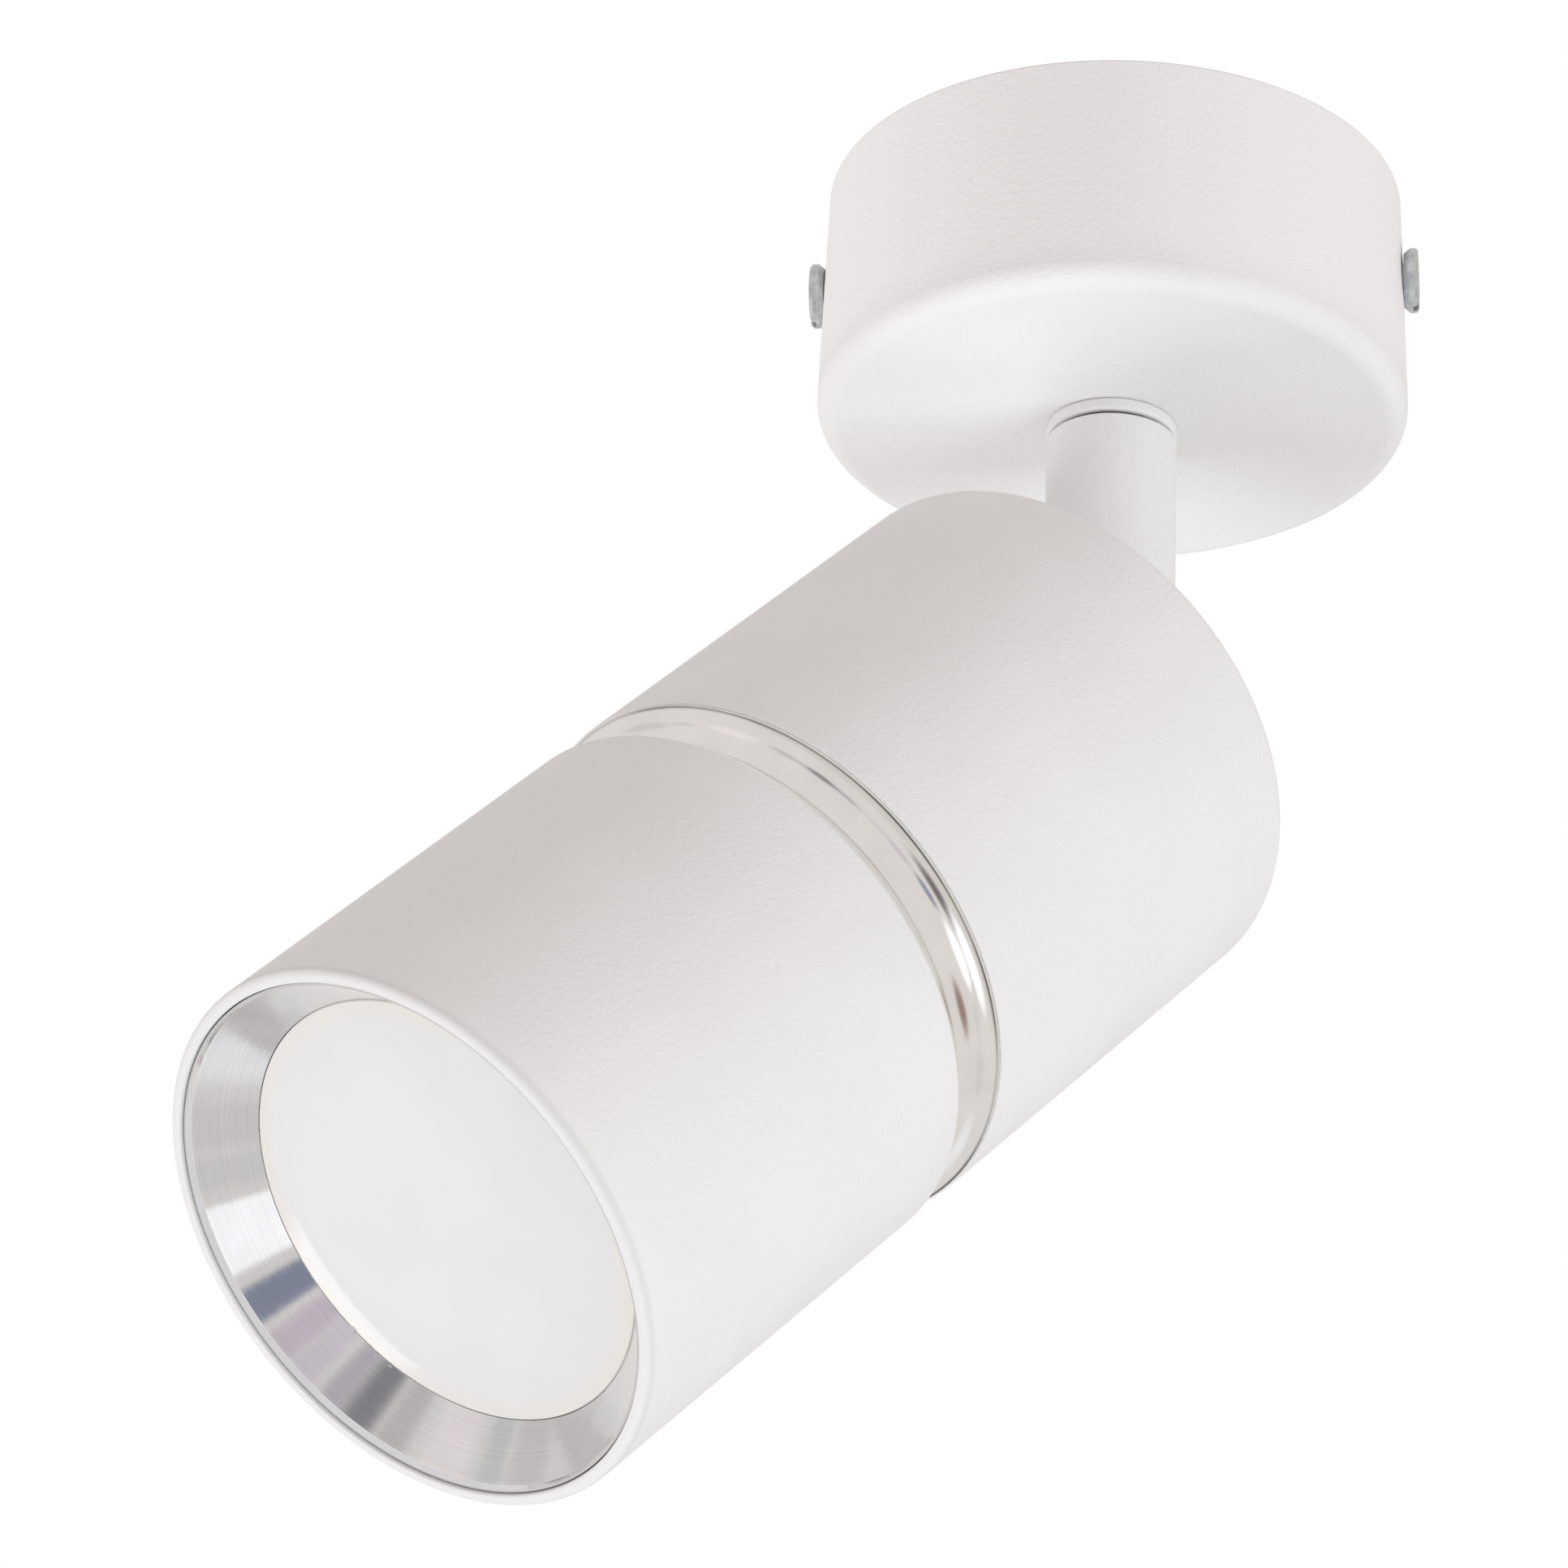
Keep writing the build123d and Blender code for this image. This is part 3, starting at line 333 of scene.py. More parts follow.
zincLook = {
    "spangle": 1.3,                               # size of the crystals
    "spangleShare": (0.35, 0.65),
    "blot": 4.0,                                  # size of the pale blots
    "blotTone": (0.80, 0.82, 0.83),
    "blotShare": (0.5, 0.75),
    "blotStrength": 0.35,
    "scratch": 0.5,                               # width of the scratches
    "scratchWander": 9.0,
    "scratchDepth": 0.08,
    "roughSpread": 0.3,
    "depth": 0.03,
    "strength": 0.3,
}


def zincPlate(name, tone, bright, rough):
    look = zincLook
    finish = Finish(name, Metallic=1.0)
    spangle = finish.noise(look["spangle"], 3.0, 0.6)
    blot = finish.noise(look["blot"], 2.0, seed=4.0)
    scratch = finish.add("ShaderNodeTexWave", {"wave_type": "BANDS", "bands_direction": "DIAGONAL"}, {
        "Vector": finish.place, "Scale": 1 / (look["scratch"] * mm),
        "Distortion": look["scratchWander"], "Detail": 3.0})
    colour = finish.blend(spangle.ramp(*look["spangleShare"]), tone, bright)
    stained = blot.ramp(*look["blotShare"]) * look["blotStrength"]
    colour = finish.blend(stained, colour, look["blotTone"])
    return finish.feed(
        Base_Color=colour,
        Roughness=rough + (spangle - 0.5) * look["roughSpread"],
        Normal=finish.bump(
            spangle + scratch * look["scratchDepth"], look["depth"], look["strength"]),
    ).material


plasticLook = {
    "cloudSize": 7.0,
    "roughSpread": 0.15,
    "strength": 0.4,
}


def mouldedPlastic(name, tone, shade, rough, grain=0.25, depth=0.012):
    look = plasticLook
    finish = Finish(name, IOR=1.48)
    fine = finish.noise(grain, 3.0)
    cloud = finish.noise(look["cloudSize"], 2.0, seed=6.0)
    return finish.feed(
        Base_Color=finish.blend(cloud.ramp(*clouds), shade, tone),
        Roughness=rough + (fine - 0.5) * look["roughSpread"],
        Normal=finish.bump(fine, depth, look["strength"]),
    ).material


stripeLook = {
    "edge": (0.22, 0.30),                         # the stripe is on the side towards +X
    "edgeWander": 0.2,
    "grain": 0.3,
    "rough": 0.42,
    "depth": 0.012,
}


def stripedLead(name, tone, stripe):
    look = stripeLook
    finish = Finish(name, IOR=1.48)
    across = finish.split(finish.place)[0]
    fine = finish.noise(look["grain"], 3.0)
    edge = (across + (fine - 0.5) * (look["edgeWander"] * mm)).past(*look["edge"])
    return finish.feed(
        Base_Color=finish.blend(edge, tone, stripe),
        Roughness=look["rough"] + (fine - 0.5) * plasticLook["roughSpread"],
        Normal=finish.bump(fine, look["depth"], plasticLook["strength"]),
    ).material


diffuserLook = {
    "tone": (0.752, 0.747, 0.752),
    "shade": (0.735, 0.730, 0.735),
    "cloudSize": 9.0,
    "edgeTone": (0.765, 0.740, 0.680),            # the cream shell shines through at the edge
    "edge": (20.8, 23.2),
    "edgeStrength": 0.7,
    "grain": 0.35,
    "rough": 0.07,
    "grainRough": 0.04,
    "depth": 0.006,
    "strength": 0.25,
}


def milkyDiffuser(name):
    look = diffuserLook
    finish = Finish(name, IOR=1.46)
    radius = finish.acrossBeam()
    cloud = finish.noise(look["cloudSize"], 2.0, seed=7.0)
    fine = finish.noise(look["grain"], 2.0)
    centre = finish.blend(cloud.ramp(*clouds), look["shade"], look["tone"])
    edge = radius.past(*look["edge"])
    return finish.feed(
        Base_Color=finish.blend(edge * look["edgeStrength"], centre, look["edgeTone"]),
        Roughness=look["rough"] + fine * look["grainRough"],
        Normal=finish.bump(fine, look["depth"], look["strength"]),
    ).material


sleeveLook = {
    "yarns": 9.0,                                 # round the sleeve, each way
    "crossings": 7000.0,                          # radians of weave in a metre
    "tone": (0.82, 0.80, 0.72),
    "shade": (0.60, 0.57, 0.48),
    "rough": 0.8,
    "roughDrop": 0.1,                             # on top of a yarn
    "depth": 0.12,
    "strength": 0.6,
}


def wovenSleeve(name):
    look = sleeveLook
    finish = Finish(name, IOR=1.45)
    x, y, z = finish.alongBeam()
    angle = y.reckon("ARCTAN2", y, x)
    left = (angle * look["yarns"] + z * look["crossings"]).sine()
    right = (angle * look["yarns"] - z * look["crossings"]).sine()
    weave = left * right * 0.5 + 0.5
    return finish.feed(
        Base_Color=finish.blend(weave.clipped(), look["shade"], look["tone"]),
        Roughness=look["rough"] - weave * look["roughDrop"],
        Normal=finish.bump(weave, look["depth"], look["strength"]),
    ).material


finishes = {                                      # after the name: tones, roughness, grain, depth
    "white_coat": whiteCoat("whiteCoat"),
    "zinc_plate": zincPlate("zincPlate", (0.55, 0.57, 0.58), (0.72, 0.74, 0.75), 0.34),
    "zinc_screw": zincPlate("zincScrew", (0.50, 0.53, 0.54), (0.70, 0.73, 0.74), 0.38),
    "spring_steel": zincPlate("springSteel", (0.32, 0.33, 0.35), (0.45, 0.46, 0.48), 0.28),
    "brass": zincPlate("yellowBrass", (0.62, 0.44, 0.18), (0.80, 0.62, 0.30), 0.30),
    "nylon": mouldedPlastic("blackNylon", (0.035, 0.035, 0.037), (0.025, 0.025, 0.027), 0.5),
    "terminal_plastic": mouldedPlastic(
        "terminalPlastic", (0.82, 0.82, 0.80), (0.76, 0.76, 0.74), 0.5, 0.5, 0.02),
    "lead_brown": mouldedPlastic("brownLead", (0.20, 0.09, 0.04), (0.15, 0.065, 0.03), 0.42),
    "lead_blue": mouldedPlastic("blueLead", (0.06, 0.20, 0.55), (0.04, 0.15, 0.45), 0.42),
    "lead_green": stripedLead("greenLead", (0.10, 0.36, 0.07), (0.78, 0.66, 0.05)),
    "chrome": chromePlate("chromePlate"),
    "ceramic": mouldedPlastic(
        "unglazedCeramic", (0.80, 0.77, 0.69), (0.74, 0.71, 0.63), 0.62, 0.4, 0.05),
    "glass_sleeve": wovenSleeve("wovenSleeve"),
    "bright_aluminium": turnedAluminium("turnedAluminium"),
    "lamp_shell": mouldedPlastic("lampShell", (0.82, 0.79, 0.72), (0.78, 0.75, 0.67), 0.38),
    "diffuser": milkyDiffuser("milkyDiffuser"),
}
nodeSlots = {part["node"]: part["material_slot"] for part in frame["record"]["subparts"]}
for node, piece in frame["nodes"].items():
    piece.data.materials.clear()
    piece.data.materials.append(finishes[nodeSlots[node]])
print("finishes made,", len(finishes))


class Grower(Nodes):                              # a geometry tree with named inputs
    kinds = {"geometry": "NodeSocketGeometry", "whole": "NodeSocketInt", "number": "NodeSocketFloat",
             "place": "NodeSocketVector", "finish": "NodeSocketMaterial"}

    def __init__(self, name, **inputs):
        super().__init__(bpy.data.node_groups.new(name, "GeometryNodeTree"))
        self.tree.is_modifier = True
        face = self.tree.interface
        face.new_socket("Geometry", in_out="OUTPUT", socket_type=self.kinds["geometry"])
        face.new_socket("Geometry", in_out="INPUT", socket_type=self.kinds["geometry"])
        for label, kind in inputs.items():
            face.new_socket(label, in_out="INPUT", socket_type=self.kinds[kind])
        self.entry = self.add("NodeGroupInput", {}, {})

    def given(self, label):
        return Value(self, self.entry.socket.node.outputs[label])

    def close(self, shape):                       # set it down where it belongs and give it its finish
        placed = self.add("GeometryNodeTransform", {}, {
            "Geometry": shape, "Translation": self.given("place"), "Rotation": self.given("turn")})
        real = self.add("GeometryNodeRealizeInstances", {}, {"Geometry": placed})
        coated = self.add("GeometryNodeSetMaterial", {}, {
            "Geometry": real, "Material": self.given("coating")})
        self.add("NodeGroupOutput", {}, {0: coated})
        return self


def latheTree():                                  # turns an outline round Z
    grower = Grower("lathe", segments="whole", sharp="number", weld="number",
                    place="place", turn="place", coating="finish")
    outline = grower.add("GeometryNodeMeshToCurve", {}, {"Mesh": grower.given("Geometry")})
    # a circle of 1 m keeps its directions exact, so the outline moves in by a metre
    outline = grower.add("GeometryNodeTransform", {}, {
        "Geometry": outline, "Translation": (-1, 0, 0), "Rotation": (pi / 2, 0, 0)})
    circle = grower.add("GeometryNodeCurvePrimitiveCircle", {"mode": "RADIUS"}, {
        "Resolution": grower.given("segments"), "Radius": 1.0})
    skin = grower.add("GeometryNodeCurveToMesh", {}, {"Curve": circle, "Profile Curve": outline})
    skin = grower.add("GeometryNodeMergeByDistance", {}, {
        "Geometry": skin, "Distance": grower.given("weld")})
    skin = grower.add("GeometryNodeSetShadeSmooth", {"domain": "FACE"}, {
        "Geometry": skin, "Shade Smooth": True})
    corner = grower.add("GeometryNodeInputMeshEdgeAngle", {}, {}, "Unsigned Angle")
    corner = corner.above(grower.given("sharp"))
    skin = grower.add("GeometryNodeSetShadeSmooth", {"domain": "EDGE"}, {
        "Geometry": skin, "Selection": corner, "Shade Smooth": False})
    return grower.close(skin).tree


latheLook = {
    "sharp": 24,                                  # degrees between two faces that keep an edge
    "weld": 0.002,                                # points nearer than this are one
    "roundSteps": 7,                              # in a rounded corner
    "guard": 0.04,                                # a short flat each side of it keeps its shading
}


def outlineOf(corners):                           # corners as (radius, height, rounding), in turn
    steps = latheLook["roundSteps"]
    guard = latheLook["guard"]
    points = []
    spots = [Vector((corner[0], 0, corner[1])) for corner in corners]
    for i, corner in enumerate(corners):
        spot = spots[i]
        if len(corner) < 3:
            points.append(spot)
            continue
        back = (spots[i - 1] - spot).normalized()
        on = (spots[(i + 1) % len(spots)] - spot).normalized()
        half = back.angle(on) / 2
        centre = spot + (back + on).normalized() * corner[2] / sin(half)
        start = spot + back * corner[2] / tan(half)
        end = spot + on * corner[2] / tan(half)
        points.append(start + back * guard)
        for step in range(steps + 1):
            spoke = (start - centre).normalized().slerp(
                (end - centre).normalized(), step / steps)
            points.append(centre + spoke * corner[2])
        points.append(end + on * guard)
    return [point * mm for point in points]


def grow(name, tree, values, points=(), closed=True):  # a tree's result as a plain mesh piece
    start = bpy.data.meshes.new(name)
    count = len(points)
    edges = [(i, (i + 1) % count) for i in range(count if closed else count - 1)]
    start.from_pydata(points, edges, [])
    piece = bpy.data.objects.new(name, start)
    bpy.context.scene.collection.objects.link(piece)
    modifier = piece.modifiers.new("grow", "NODES")
    modifier.node_group = tree
    for item in tree.interface.items_tree:
        if item.in_out == "INPUT" and item.name in values:
            modifier[item.identifier] = values[item.name]
    view = bpy.context.evaluated_depsgraph_get()
    mesh = bpy.data.meshes.new_from_object(
        piece.evaluated_get(view), preserve_all_data_layers=True, depsgraph=view)
    piece.modifiers.remove(modifier)
    piece.data = mesh
    return piece


def reface(piece, change=None):                   # faces outwards, after any change to the mesh
    shell = bmesh.new()
    shell.from_mesh(piece.data)
    if change:
        change(shell)
    bmesh.ops.recalc_face_normals(shell, faces=shell.faces)
    shell.to_mesh(piece.data)
    shell.free()
    piece.data.update()


lathe = latheTree()


def turned(name, look, corners, place, body, slot, node, closed=True, change=None, turn=0.0):
    where = place @ Matrix.Rotation(radians(turn), 4, "Z")
    piece = grow(name, lathe, {
        "segments": look["segments"],
        "sharp": radians(latheLook["sharp"]), "weld": latheLook["weld"] * mm,
        "place": tuple(where.translation), "turn": tuple(where.to_euler()),
        "coating": finishes[slot],
    }, outlineOf(corners), closed)
    reface(piece, change)
    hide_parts(node)
    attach(piece, body)
    return piece


canopyLook = {
    "segments": 240,
    "radius": 33.0,                               # where wall and floor would meet
    "mouth": 32.23,
    "height": 28.25,
    "wall": 1.2,
    "edgeRound": 2.4,
    "lipRound": 0.4,
    "bore": 6.01,
}


def makeCanopy():
    look = canopyLook
    low = -look["height"]
    floorTop = low + look["wall"]
    swell = (look["radius"] - look["mouth"]) * (1 - look["wall"] / look["height"])
    inner = look["mouth"] + swell - look["wall"]
    turned("canopyCup", look, [
        (look["bore"], low),
        (look["radius"], low, look["edgeRound"]),
        (look["mouth"], 0, look["lipRound"]),
        (look["mouth"] - look["wall"], 0, look["lipRound"]),
        (inner, floorTop, look["edgeRound"] - look["wall"]),
        (look["bore"], floorTop),
    ], ceilingPlace, "canopy", "white_coat", "ceiling_canopy")


stemLook = {
    "segments": 96,
    "radius": 7.25,
    "collarTop": -28.25,
    "collarLow": -29.75,
    "collarBore": 5.93,
    "collarRound": 0.4,
    "top": -30.15,
    "low": -51.63,
    "thread": 4.97,                               # radius of the threaded ends of the bore
    "threadDepth": 8.0,
    "bore": 3.2,
    "topRound": 0.4,
    "seatRound": 0.15,
}


def makeStem():
    look = stemLook
    turned("collarRing", look, [
        (look["collarBore"], look["collarLow"]),
        (look["radius"], look["collarLow"], look["collarRound"]),
        (look["radius"], look["collarTop"], look["collarRound"]),
        (look["collarBore"], look["collarTop"]),
    ], ceilingPlace, "canopy", "white_coat", "stem_collar")
    turned("stemRod", look, [
        (look["bore"], look["low"] + look["threadDepth"]),
        (look["thread"], look["low"] + look["threadDepth"]),
        (look["thread"], look["low"]),
        (look["radius"], look["low"], look["seatRound"]),
        (look["radius"], look["top"], look["topRound"]),
        (look["thread"], look["top"]),
        (look["thread"], look["top"] - look["threadDepth"]),
        (look["bore"], look["top"] - look["threadDepth"]),
    ], ceilingPlace, "stem", "white_coat", "stem_tube")


headLook = {
    "segments": 240,
    "radius": 30.0,
    "bore": 28.6,
    "rear": 11.25,                                # along the beam, from the pivot
    "rearInner": 12.85,
    "neck": 4.97,                                 # hole for the knuckle's spigot
    "rearRound": 0.9,
    "seam": 63.8,                                 # where the ring starts
    "seamRound": 0.25,
    "ringEnd": 71.4,
    "front": 123.2,
    "frontRound": 0.8,
    "rimRound": 0.3,
    "beadFront": 103.95,
    "beadRear": 102.55,
    "beadDepth": 1.2,
}


def makeHousings():
    look = headLook
    turned("rearTube", look, [
        (look["neck"], look["rear"]),
        (look["radius"], look["rear"], look["rearRound"]),
        (look["radius"], look["seam"], look["seamRound"]),
        (look["bore"], look["seam"], look["seamRound"]),
        (look["bore"], look["rearInner"], look["rearRound"]),
        (look["neck"], look["rearInner"]),
    ], headPlace, "head", "white_coat", "rear_housing")
    bead = look["bore"] - look["beadDepth"]
    turned("frontTube", look, [
        (look["bore"], look["ringEnd"], look["seamRound"]),
        (look["radius"], look["ringEnd"], look["seamRound"]),
        (look["radius"], look["front"], look["frontRound"]),
        (look["bore"], look["front"], look["rimRound"]),
        (look["bore"], look["beadFront"]),
        (bead, look["beadFront"]),
        (bead, look["beadRear"]),
        (look["bore"], look["beadRear"] - look["beadDepth"]),
    ], headPlace, "head", "white_coat", "front_housing")


ringLook = {
    "segments": 240,
    "lip": 29.75,                                 # all but flush with the housings
    "lipWidth": 0.35,
    "coveDepth": 2.65,
    "coveSteps": 28,
    "spigot": 28.55,
    "spigotLength": 8.0,
    "inner": 26.2,
    "edgeBreak": 0.1,                             # the plated corners are never quite sharp
}


def makeRing():
    look = ringLook
    rear = headLook["seam"]
    front = headLook["ringEnd"]
    half = (front - rear) / 2 - look["lipWidth"]
    depth = look["coveDepth"]
    sweep = (half * half + depth * depth) / (2 * depth)  # radius of the cove's arc
    opening = asin(half / sweep)
    cove = []
    for step in range(look["coveSteps"] + 1):
        angle = opening * (1 - 2 * step / look["coveSteps"])
        waist = look["lip"] - depth + sweep * (1 - cos(angle))
        cove.append((waist, (rear + front) / 2 + sweep * sin(angle)))
    turned("chromeWaist", look, [
        (look["inner"], rear - look["spigotLength"]),
        (look["spigot"], rear - look["spigotLength"]),
        (look["spigot"], rear),
        (look["lip"], rear, look["edgeBreak"]),
        *reversed(cove),
        (look["lip"], front, look["edgeBreak"]),
        (look["spigot"], front),
        (look["spigot"], front + look["spigotLength"]),
        (look["inner"], front + look["spigotLength"]),
    ], headPlace, "head", "chrome", "cove_ring")


reflectorLook = {
    "segments": 180,                              # 2 degrees each, so a window is 7 of them
    "radius": 28.1,
    "flare": 28.5,                                # the front edge all but fills the rim
    "flareRear": 121.6,
    "front": 122.8,
    "lip": 0.3,                                   # a narrow lip stands up round the cone
    "cone": 28.05,
    "coneEdge": 122.085,
    "edgeRound": 0.12,
    "hole": 23.64,
    "holeEdge": 117.0,
    "sheet": 0.6,
    "skirtBore": 27.3,
    "skirtSpare": 0.1,                            # the windows cut faces from this far inside the bore
    "root": 120.2,
    "skirtRear": 104.0,
    "windowLow": 108.1,
    "windowHigh": 117.9,
    "windowHalf": 7.0,                            # degrees
    "windows": 3,
    "turn": 1.0,                                  # brings the windows' ends onto the segments' edges
}


def cutWindows(shell):                            # a window in the skirt for each spring
    look = reflectorLook
    back = headPlace.inverted()
    step = 360 / look["windows"]
    least = look["skirtBore"] - look["skirtSpare"]
    lost = []
    for face in shell.faces:
        spot = back @ face.calc_center_median()
        height = spot.z / mm
        radius = sqrt(spot.x ** 2 + spot.y ** 2) / mm
        angle = degrees(Vector((1, 0)).angle_signed(Vector((spot.x, spot.y)))) % step
        inside = min(angle, step - angle) < look["windowHalf"]
        if inside and look["windowLow"] < height < look["windowHigh"] and radius > least:
            lost.append(face)
    bmesh.ops.delete(shell, geom=lost, context="FACES")
    rims = [edge for edge in shell.edges if edge.is_boundary]
    for window in range(look["windows"]):
        way = Vector((cos(radians(window * step)), sin(radians(window * step))))
        near = []
        for edge in rims:
            spot = back @ ((edge.verts[0].co + edge.verts[1].co) / 2)
            if Vector((spot.x, spot.y)).angle(way) < radians(2 * look["windowHalf"]):
                near.append(edge)
        made = bmesh.ops.bridge_loops(shell, edges=near)
        for edge in near:
            edge.smooth = False
        for face in made["faces"]:
            face.smooth = False


def makeReflector():
    look = reflectorLook
    turned("reflectorDish", look, [
        (look["radius"], look["skirtRear"], look["edgeRound"]),
        (look["radius"], look["windowLow"]),
        (look["radius"], look["windowHigh"]),
        (look["radius"], look["flareRear"]),
        (look["flare"], look["flareRear"] + look["flare"] - look["radius"]),
        (look["flare"], look["front"], look["edgeRound"]),
        (look["flare"] - look["lip"], look["front"]),
        (look["cone"], look["coneEdge"]),
        (look["hole"], look["holeEdge"]),
        (look["hole"], look["holeEdge"] - look["sheet"]),
        (look["skirtBore"], look["root"]),
        (look["skirtBore"], look["windowHigh"]),
        (look["skirtBore"], look["windowLow"]),
        (look["skirtBore"], look["skirtRear"]),
    ], headPlace, "trim", "bright_aluminium", "reflector_ring", change=cutWindows, turn=look["turn"])


lampLook = {
    "segments": 192,
    "radius": 25.0,
    "front": 116.1,
    "rimRear": 111.6,
    "rimWall": 1.5,
    "seat": 114.5,
    "neck": 14.0,
    "bodyRear": 83.8,
    "pull": 12.0,                                 # how long each end of the flare holds its way
    "neckSwell": 1.0,
    "rimSwell": 2.0,
    "flareSteps": 24,
    "rimBreak": 0.25,
    "diffuser": 23.45,
    "overhang": 23.60,                            # out of the shell it all but fills the reflector
    "overhangStart": 0.02,
    "overhangEnd": 0.1,
    "shoulder": 0.92,                             # the dome's edge stands up this much before it curves
    "shoulderRound": 0.25,
    "dome": 1.5,
    "domeSteps": 20,
}


def makeLamp():
    look = lampLook
    rear, front = look["bodyRear"], look["rimRear"]
    guides = [
        Vector((look["neck"], rear)),
        Vector((look["neck"] + look["neckSwell"], rear + look["pull"])),
        Vector((look["radius"] - look["rimSwell"], front - look["pull"])),
        Vector((look["radius"], front)),
    ]
    flare = []
    for step in range(look["flareSteps"] + 1):
        t = step / look["flareSteps"]
        spot = (guides[0] * (1 - t) ** 3 + guides[1] * 3 * t * (1 - t) ** 2
                + guides[2] * 3 * t * t * (1 - t) + guides[3] * t ** 3)
        flare.append(tuple(spot))
    well = look["radius"] - look["rimWall"]
    turned("lampShell", look, [
        (0, rear), *flare,
        (look["radius"], look["front"], look["rimBreak"]),
        (well, look["front"], look["rimBreak"]),
        (well, look["seat"]),
        (0, look["seat"]),
    ], headPlace, "lamp", "lamp_shell", "lamp_body", closed=False)
    rise = look["dome"] - look["shoulder"]
    ball = (look["overhang"] ** 2 + rise ** 2) / (2 * rise)
    reach = asin(look["overhang"] / ball)
    dome = []
    for step in range(1, look["domeSteps"] + 1):
        angle = reach * (1 - step / look["domeSteps"])
        dome.append((ball * sin(angle), look["front"] + look["dome"] - ball * (1 - cos(angle))))
    turned("lampDiffuser", look, [
        (0, look["seat"]), (look["diffuser"], look["seat"]),
        (look["diffuser"], look["front"] + look["overhangStart"]),
        (look["overhang"], look["front"] + look["overhangEnd"]),
        (look["overhang"], look["front"] + look["shoulder"], look["shoulderRound"]), *dome,
    ], headPlace, "lamp", "diffuser", "lamp_diffuser", closed=False)


burrLook = {
    # angle round the beam and share of the reach
    "spots": [
        (9.0, 0.5), (12.0, 1.0), (15.5, 0.4), (22.0, 1.0),
        (24.0, 0.6), (28.5, 0.35), (310.5, 0.7), (318.0, 0.3),
    ],
    "reach": 0.15,                                # out from the hole's edge
    "lift": 0.22,                                 # keeps them clear of the diffuser
    "size": 0.42,
    "thickness": 0.07,
    "curl": 0.55,                                 # of a full turn
    "taper": 0.45,                                # how far the curl closes
    "rise": 0.8,                                  # its height
    "tilt": 0.9,                                  # radians either way
    "smallest": 0.45,                             # share of the size
    "steps": 14,
    "sides": 6,
    "seed": 4,
    "seedStep": 5,                                # from the turns' seed to the sizes' seed
}


def burrTree():                                   # curled bits of metal left at a cut edge
    look = burrLook
    grower = Grower("burrs", size="number", thickness="number", seed="whole",
                    place="place", turn="place", coating="finish")
    size = grower.given("size")
    curl = grower.add("GeometryNodeCurveSpiral", {}, {
        "Resolution": look["steps"], "Rotations": look["curl"],
        "Start Radius": size, "End Radius": size * look["taper"], "Height": size * look["rise"]})
    rod = grower.add("GeometryNodeCurvePrimitiveCircle", {"mode": "RADIUS"}, {
        "Resolution": look["sides"], "Radius": grower.given("thickness")})
    strip = grower.add("GeometryNodeCurveToMesh", {}, {
        "Curve": curl, "Profile Curve": rod, "Fill Caps": True})
    turns = grower.add("FunctionNodeRandomValue", {"data_type": "FLOAT_VECTOR"}, {
        0: (-look["tilt"], -look["tilt"], 0.0), 1: (look["tilt"], look["tilt"], 2 * pi),
        "Seed": grower.given("seed")})
    sizes = grower.add("FunctionNodeRandomValue", {"data_type": "FLOAT"}, {
        2: look["smallest"], 3: 1.0, "Seed": grower.given("seed") + look["seedStep"]}, 1)
    bits = grower.add("GeometryNodeInstanceOnPoints", {}, {
        "Points": grower.given("Geometry"), "Instance": strip, "Rotation": turns, "Scale": sizes})
    real = grower.add("GeometryNodeRealizeInstances", {}, {"Geometry": bits})
    smooth = grower.add("GeometryNodeSetShadeSmooth", {"domain": "FACE"}, {
        "Geometry": real, "Shade Smooth": True})
    return grower.close(smooth).tree


def makeBurrs():                                  # where the tool left the reflector's inner edge
    look = burrLook
    height = reflectorLook["holeEdge"] + look["lift"]
    points = []
    for angle, share in look["spots"]:
        reach = reflectorLook["hole"] + look["reach"] * share
        angle = radians(angle)
        points.append(Vector((reach * cos(angle), reach * sin(angle), height)) * mm)
    piece = grow("reflectorBurrs", burrTree(), {
        "size": look["size"] * mm, "thickness": look["thickness"] * mm, "seed": look["seed"],
        "place": tuple(headPlace.translation), "turn": tuple(headPlace.to_euler()),
        "coating": finishes["bright_aluminium"],
    }, points, closed=False)
    reface(piece)
    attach(piece, "trim")


threadLook = {
    "pitch": 1.0,
    "ridge": 0.22,
    "steps": 48,                                  # in a turn
    "sides": 4,
    # name, body, place, radius, start, length
    "ends": [
        ("nippleThread", "stem", ceilingPlace, 4.86, -18.4, 1.5),
        ("spigotThread", "head", headPlace, 4.86, 18.9, 1.0),
    ],
}


def threadTree():                                 # a ridge that runs round a screwed end
    look = threadLook
    grower = Grower("thread", radius="number", pitch="number", length="number", ridge="number",
                    place="place", turn="place", coating="finish")
    path = grower.add("GeometryNodeCurveSpiral", {}, {
        "Resolution": look["steps"], "Rotations": grower.given("length") / grower.given("pitch"),
        "Start Radius": grower.given("radius"), "End Radius": grower.given("radius"),
        "Height": grower.given("length")})
    ridge = grower.add("GeometryNodeCurvePrimitiveCircle", {"mode": "RADIUS"}, {
        "Resolution": look["sides"], "Radius": grower.given("ridge")})
    skin = grower.add("GeometryNodeCurveToMesh", {}, {
        "Curve": path, "Profile Curve": ridge, "Fill Caps": True})
    return grower.close(skin).tree


def makeThreads():
    look = threadLook
    tree = threadTree()
    for name, body, place, radius, start, length in look["ends"]:
        where = place @ Matrix.Translation((0, 0, start * mm))
        piece = grow(name, tree, {
            "radius": radius * mm, "pitch": look["pitch"] * mm,
            "length": length * mm, "ridge": look["ridge"] * mm,
            "place": tuple(where.translation), "turn": tuple(where.to_euler()),
            "coating": finishes["zinc_plate"],
        }, [Vector(), Vector((mm, 0, 0))], closed=False)
        reface(piece)
        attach(piece, body)


